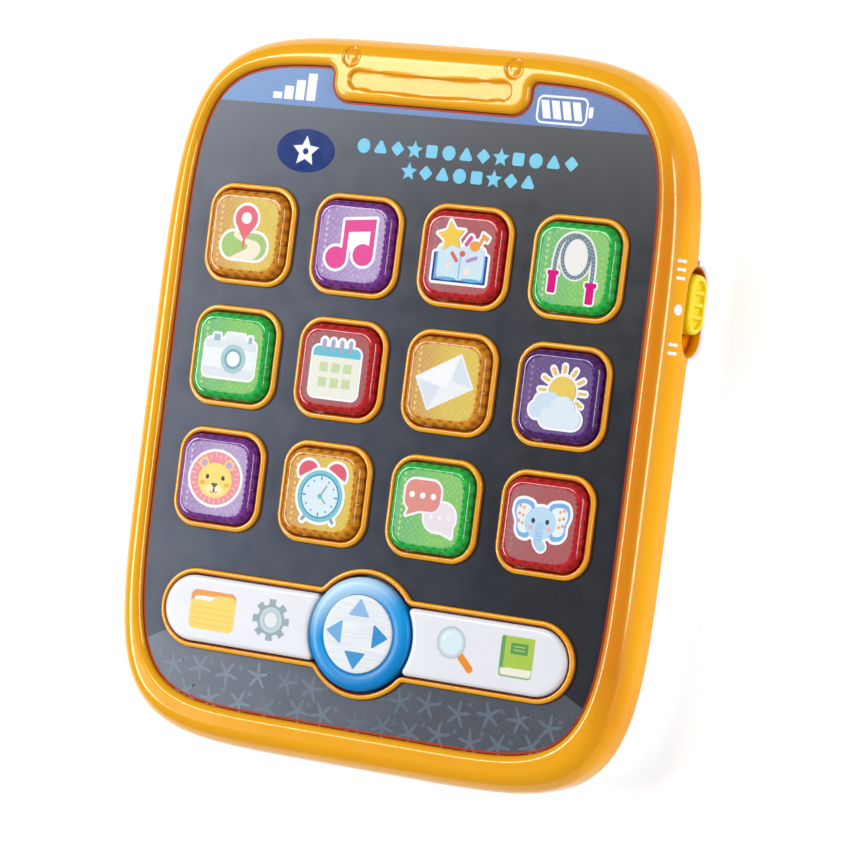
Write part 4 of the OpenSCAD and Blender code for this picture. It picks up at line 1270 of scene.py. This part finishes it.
def draw_lion(p):
    mid, hairs, n = 0.3, [], 28
    p.fill(PAPER_WHITE, disc(mid, 0.1, 10.2, 9.3))
    p.fill("EE97A0", disc(mid, 0.1, 9.3, 8.4))
    for i in range(n):
        a = math.radians(360 * i / n + 4)
        ends = (7.6, 8.9) if i % 2 else (7.1, 8.5)
        (x0, y0), (x1, y1) = ((mid + r * math.cos(a), 0.1 + 0.9 * r * math.sin(a)) for r in ends)
        hairs.append(capsule(x0, y0, x1, y1, 0.3))
    p.each("F8D3D6", hairs)
    p.each("F4D77B", pair(mid, 4.6, 4.6, 1.8))
    p.each("C9A7D8", pair(mid, 4.6, 4.6, 1.15))
    p.fill("F7DE80", disc(mid, -0.6, 6.3, 5.6))
    p.each("FBEFC0", pair(mid, 1.4, -3.6, 1.7, 1.5))
    p.fill("6A6874", spline([(-0.9, -1.6), (0.3, -1.4), (1.5, -1.6), (0.3, -2.9)]))
    p.each("55525C", pair(mid, 2.9, 0.4, 0.62, 0.75))
    mouth = spline([(-1.1, -4.1), (-0.4, -4.5), (0.3, -3.6), (1.0, -4.5), (1.7, -4.1)], closed=False)
    p.fill("C77A7A", stroke(mouth, 0.28))
    p.each("F2B56B", pair(mid, 4.5, -1.6, 0.9, 0.7))


def draw_alarm(p):
    bells = [half_disc(-4.9, 6.3, 3.5, 120), half_disc(5.3, 6.3, 3.5, 60)]
    feet = [capsule(-4.4, -7.4, -5.3, -8.6, 1.1), capsule(4.8, -7.4, 5.7, -8.6, 1.1)]
    case = disc(0.2, -0.9, 8.1)
    p.halo(0.9, *bells, *feet, case)
    p.each("9CA6AD", feet)
    p.each("E0667B", bells)
    x, y = 0.2, -0.9
    p.discs(x, y, ("82C7CE", 8.1), ("3D92CE", 6.9), ("DDEDF5", 6.45))
    marks = []
    for i in range(12):
        a = math.radians(30 * i)
        r0, r1, w = (5.3, 6.1, 0.5) if i % 3 == 0 else (5.3, 5.32, 0.6)
        c, s = math.cos(a), math.sin(a)
        marks.append(capsule(x + r0 * c, y + r0 * s, x + r1 * c, y + r1 * s, w))
    p.each("4C95C6", marks)
    p.stack("98A4A9", [capsule(x, y, 2.3, 2.5, 0.5), capsule(x, y, 2.2, -2.8, 0.5)])
    p.fill("6DB8C2", disc(x, y, 0.75))


def draw_chat(p):
    first = [box(-8.6, -1.0, 3.8, 8.5, 3.3), np.array([(-6.6, 0.4), (-7.7, -2.8), (-2.6, -0.8)])]
    second = [box(-1.2, -6.7, 9.6, 2.2, 4.2), np.array([(8.9, -4.4), (9.0, -8.0), (4.4, -6.4)])]
    p.halo(0.75, *second, *first)
    p.stack("EBE1E9", second)
    p.halo(0.45, *first)
    p.stack("E0948B", first)
    p.each("F6FAFA", [disc(x, 3.75, 0.95) for x in (-6.2, -2.45, 1.3)])
    p.each("F7F3F7", [disc(x, -2.4, 0.75) for x in (1.3, 4.4, 7.5)])


def draw_elephant(p):
    left = [(-2.6, 5.0), (-5.4, 7.0), (-8.6, 6.3), (-9.3, 3.2), (-8.2, 0.2), (-8.0, -2.6), (-6.4, -4.4),
            (-3.4, -3.6)]
    right = [(2.2, 5.0), (5.2, 7.0), (8.6, 6.5), (9.6, 3.4), (8.6, 0.2), (8.4, -2.6), (6.6, -4.4),
             (3.4, -3.6)]
    ears = [spline(left), spline(right)]
    head = disc(-0.2, 0.4, 5.3, 4.9)
    trunk = stroke(spline([(-0.2, -0.6), (-0.3, -3.4), (-0.2, -5.4), (0.9, -6.7)], closed=False), 2.8)
    p.halo(0.9, *ears, head)
    p.halo(0.7, trunk)
    inner = []
    for ear in ears:
        p.fill("7FB5E6", ear)
        mid = ear.mean(0)
        inner.append(mid + (ear - mid) * 0.76)
    p.each("EAF2F8", inner)
    dots = [disc(side * (6.2 + 1.3 * j), 4.4 - 2.3 * i + 0.5 * j, 0.5, n=16)
            for side in (-1, 1) for i in range(3) for j in range(2)]
    p.each("F2B24E", dots[::2])
    p.each("EE9C94", dots[1::2])
    p.fill("BEDCF3", head)
    p.fill("AFD2EE", trunk)
    p.each("8FBCE0", [capsule(-1.3, y, 0.8, y, 0.25) for y in (-2.6, -3.6, -4.6)])
    p.each("4B4A63", pair(-0.2, 2.4, 0.9, 0.65, 0.8))
    p.each("F1B9BC", pair(-0.2, 3.2, -1.2, 0.75, 0.6))


def draw_folder(p):
    p.fill("F0A45F", box(-7.3, -3, 9.4, 6.1, 2.0))
    p.fill("F3F3F5", [*spline([(-6.2, 2.6), (-5.2, 4.1), (1.0, 4.3), (2.2, 4.6)], closed=False), (1.2, 2.6)])
    tab = spline([(3.2, 4.9), (2.2, 4.7), (1.0, 3.4), (-0.2, 2.9)], closed=False)
    p.fill("F7DB79", np.concatenate([arc(-5.3, -4.3, 2, 180, 270, 8), arc(7.4, -4.3, 2, 270, 360, 8),
                                     arc(7.4, 2.9, 2, 0, 90, 8), tab, arc(-6.3, 1.9, 1, 90, 180, 6)]))
    p.each("F0D064", [capsule(-6.5, y, 8.6, y, 0.3) for y in (-4.7, -2.9, -1.1, 0.7)])


def draw_gear(p):
    tooth = [(math.radians(a), r) for a, r in ((-13, 5.0), (-10.5, 6.75), (10.5, 6.75), (13, 5.0))]
    tooth = [(r * math.cos(a), r * math.sin(a)) for a, r in tooth]
    hole = disc(0, 0, 2.4)[::-1]
    p.fill("9FB1BA", np.concatenate([spun(tooth, 45 * i) for i in range(8)]) * [1, 0.985], hole)
    p.fill("C5D8DE", disc(0, 0, 4.05), hole)
    p.fill("B4C6CE", disc(0, 0, 2.75), hole)


def draw_magnifier(p):
    p.fill("F09238", capsule(3.3, -1.4, 7.2, -5.3, 2.4))
    p.discs(0, 2.0, ("BCCDD6", 5.0), ("CFDCE3", 4.4))
    p.fill("DCEEF5", disc(0, 2.1, 3.8))
    p.fill("F1F8FB", stroke(arc(0, 2.1, 2.8, 110, 165, 10), 0.7))


def draw_book(p):
    p.fill("9BBF8C", box(-4.3, -5.7, 7.0, 6.8, 1.0))
    p.fill("F1EEDD", box(-3.7, -5.1, 6.8, -1.0, 0.8))
    p.fill("6FA565", box(-4.3, -3.0, -2.0, 6.8, 0.6))
    p.fill("AECB58", box(-2.9, -2.8, 7.0, 6.8, 0.2))
    p.fill("5F9F5C", box(-0.9, 1.5, 5.0, 4.9, 0.2))
    p.each("B7D070", [capsule(0.2, y, 3.8, y, 0.35) for y in (2.7, 3.8)])


def draw_arrows():
    p = Print(0, BAR_Y, DISC_TOP - 0.004)
    for turn, tone in ((90, "94BEE9"), (180, "78B1E4"), (0, "3D93D3"), (270, "4B9AD6")):
        p.layer = 0
        p.fill(tone, grow(spun([(10.5, 0), (5.9, 3.2), (5.9, -3.2)], turn), 0.35))
    p.done("pad_arrows", "dpad", "pad_pearl")


def plain_sign(kind, x, y):
    """A plain shape: a disc, star, triangle, square or diamond."""
    shape = (disc(0, 0, 2.3), star(0, 0, 3.0, 1.4), grow([(0, 1.4), (-1.5, -1.2), (1.5, -1.2)], 0.7),
             box(-2, -2, 2, 2, 0.7), grow([(1.6, 0), (0, 1.6), (-1.6, 0), (0, -1.6)], 0.6))[kind]
    return shape + [x, y]


def draw_face():
    """Bars and a battery in the top band, the badge, and two rows of plain shapes instead of words."""
    p = Print(0, GRID_Y, FACE_Z)
    p.each(SIGN_WHITE, [box(-57.1 + 4.1 * i, 83.0, -53.8 + 4.1 * i, 83.0 + h, 0.1)
                        for i, h in enumerate((2.1, 4.2, 6.3, 8.6))])
    core = box(39.4, 84.1, 52.8, 88.7, 0.1)
    p.fill(SIGN_WHITE, grow(core, 2.1), grow(core, 1.4)[::-1])
    cell = np.array([(39.9, 83.6), (42.6, 83.6), (41.2, 89.2), (38.5, 89.2)])
    p.each(SIGN_WHITE, [cell + [3.6 * i, 0] for i in range(4)] + [box(55.2, 84.7, 56.7, 88.1, 0.5)])
    x = -42.5
    p.fill(BADGE_BLUE, disc(x, 67.2, 10.6, 6.9))
    p.fill(SIGN_WHITE, star(x, 67.0, 5.0, 2.4))
    p.fill(BADGE_BLUE, disc(x, 67.0, 1.0))
    p.each("7ECDEC", [plain_sign(2 * i % 5, -21.6 + 6.1 * i, 70.4) for i in range(13)]
           + [plain_sign((3 * i + 1) % 5, -4.4 + 6.0 * i, 63.6) for i in range(8)])
    p.done("face_signs", "case", "dark_face")


def build_rim_shade_band():
    """Thin dark red band round the printed sheet, close to the rim: painted shadow and reflection of the
    orange rim on the sheet.
    """
    along = np.roll(INNER, -1, 0) - np.roll(INNER, 1, 0)
    inward = np.column_stack([-along[:, 1], along[:, 0]]) / np.hypot(*along.T)[:, None]
    near, far, top = 0.12, 0.78, FACE_Z + 4 * INK_STEP
    section = [(near, top), (far, top), (far, top - 0.1), (near, top - 0.1)]
    line = piece("rim_shade_band", [sweep(lambda inset: INNER + inset * inward, section, closed=True)], RIM_SHADE_RED)
    settle(line, "case", "dark_face")


def starfish(x, y, size, turn):
    """Five slim arms with round tips."""
    wide, root = 0.12 * size, 0.2 * size
    arm = [(0.5 * size, -wide), (0.9 * size, -0.7 * wide), (size, 0), (0.9 * size, 0.7 * wide),
           (0.5 * size, wide), (root * math.cos(0.63), root * math.sin(0.63))]
    return np.concatenate([spun(arm, turn + 72 * i) for i in range(5)]) + [x, y]


def draw_starfish():
    """Starfish scattered over the paler ground; the rim and the bar's collar cover some arms."""
    p = Print(0, 0, FACE_Z)
    rng = np.random.default_rng(12)
    corner = INNER[(INNER[:, 0] > 0) & (INNER[:, 1] < BAR_Y + 20)]
    corner = corner[np.argsort(corner[:, 1])]

    def fits(loop):
        across, up = np.abs(loop[:, 0]), loop[:, 1] - BAR_Y
        past_end = np.maximum(across - (BAR_W - BAR_H) / 2, 0)
        in_bar = (np.hypot(past_end, up) < BAR_H / 2 - 0.9) | (np.hypot(across, up) < PAD_COLLAR_R - 0.9)
        high_up = loop[:, 1] > np.minimum(GRID_Y - 53.4 - 0.5 * across, BAR_Y)
        side = np.interp(np.maximum(loop[:, 1], GRID_Y - 109), corner[:, 1], corner[:, 0])
        outside = (across > side + 4) | (loop[:, 1] < GRID_Y - 115)
        return not (in_bar | high_up | outside).any()

    for size, row_step, start in ((4.5, 8.6, 0.0), (1.3, 8.6, 4.3)):
        for row in range(6):
            for column in range(-9, 10):
                x = 10.4 * column + 5.2 * (row % 2) + start + rng.uniform(-0.8, 0.8)
                y = GRID_Y - 108 + row_step * row + 0.6 * start + rng.uniform(-0.7, 0.7)
                turn = rng.uniform(0, 72)
                spots = [starfish(x, y + shift, size, turn) for shift in (0, -1.5, 1.5, -3)]
                loop = next((spot for spot in spots if fits(spot)), None)
                if loop is not None:
                    p.layer = 0
                    # Starfish lighter towards the left, like the ground under them: painted reflection.
                    p.fill("8590A0" if x < -35 else "75808F" if x < 0 else "667280", loop)
    p.done("sand_stars", "case", "dark_face")


def build_wall_marks():
    """Raised white marks on the rolled side of the rim beside the slider."""
    lean = np.linspace(0, math.pi / 2, 400)
    run = run_length(np.column_stack([OUTER_ROLL * np.sin(lean), OUTER_FALL * np.cos(lean)]))
    side = OUTER[OUTER[:, 0] > CASE_W * 0.8]
    side = side[np.argsort(side[:, 1])]

    def lay(loop, lift):
        phi = np.interp(loop[:, 1], run, lean)
        s, c = np.sin(phi), np.cos(phi)
        x = np.interp(loop[:, 0], side[:, 1], side[:, 0]) - OUTER_ROLL * (1 - s) + lift * s
        return np.column_stack([x, loop[:, 0], FACE_Z + RIM_RISE - OUTER_FALL * (1 - c) + lift * c])

    # each mark lies flat first: across is the place along Y, up is the way down the roll
    marks = [disc(SLIDER.y - 2.5, 8.3, 1.7)]
    marks += [capsule(SLIDER.y + y, 6.6, SLIDER.y + y, 9.4, 1.1) for y in (7, 9.6, 12.2, -13, -15.6)]
    shells = []
    for loop in marks:
        heart = loop.mean(0)
        shrunk = [heart + (loop - heart) * k for k in (1, 0.7, 0.4, 0.02)]
        shells.append(loft([lay(ring, -0.3) for ring in shrunk[::-1]] + [lay(ring, 0.05) for ring in shrunk]))
    inks = [srgb("F4F4F6")] * sum(len(faces) for _, faces in shells)
    settle(piece("side_marks", shells, INK, ink=inks), "case", "orange_shell")


PICTURES = {"map": draw_map, "music": draw_music, "story": draw_story, "rope": draw_rope,
            "camera": draw_camera, "calendar": draw_calendar, "mail": draw_mail, "weather": draw_weather,
            "lion": draw_lion, "alarm": draw_alarm, "chat": draw_chat, "elephant": draw_elephant}


KEY_PICTURES = (("folder", -55, "left_key", draw_folder), ("gear", -32.2, "left_key", draw_gear),
                ("magnifier", 32.5, "right_key", draw_magnifier), ("book", 54, "right_key", draw_book))


def draw_pictures():
    for app, draw in PICTURES.items():
        node = app + "_button"
        at = middle(node)
        p = Print(at.x, at.y, CAP_TOP)
        draw(p)
        p.done(app + "_picture", node, slot_of(node))
    for name, x, key, draw in KEY_PICTURES:
        p = Print(x, BAR_Y, KEY_TOP)
        draw(p)
        p.done(name + "_picture", key, "key_white")


build_housing()
build_face()
build_rear()
build_door()
for app in PICTURES:
    build_cap(app)
build_key("left_key", -1)
build_key("right_key", 1)
build_pad()
build_slider("language_slider", 1)
build_slider("volume_slider", -1)
draw_pictures()
draw_arrows()
draw_face()
draw_starfish()
build_wall_marks()
build_rim_shade_band()
studio()

finishes = {"white_shell": WHITE, "steel": STEEL, "black_plastic": BLACK, "silicone": SILICONE,
            "circuit_board": BOARD, "led_white": LED, "speaker_paper": PAPER, "magnet": MAGNET,
            "cell_wrap": CELL, "brass_insert": BRASS, "wire_skin": WIRE}
for part in frame["record"]["subparts"]:
    node = frame["nodes"][part["node"]]
    if part["material_slot"] in finishes and not node.hide_render:
        node.data.materials.clear()
        node.data.materials.append(finishes[part["material_slot"]])
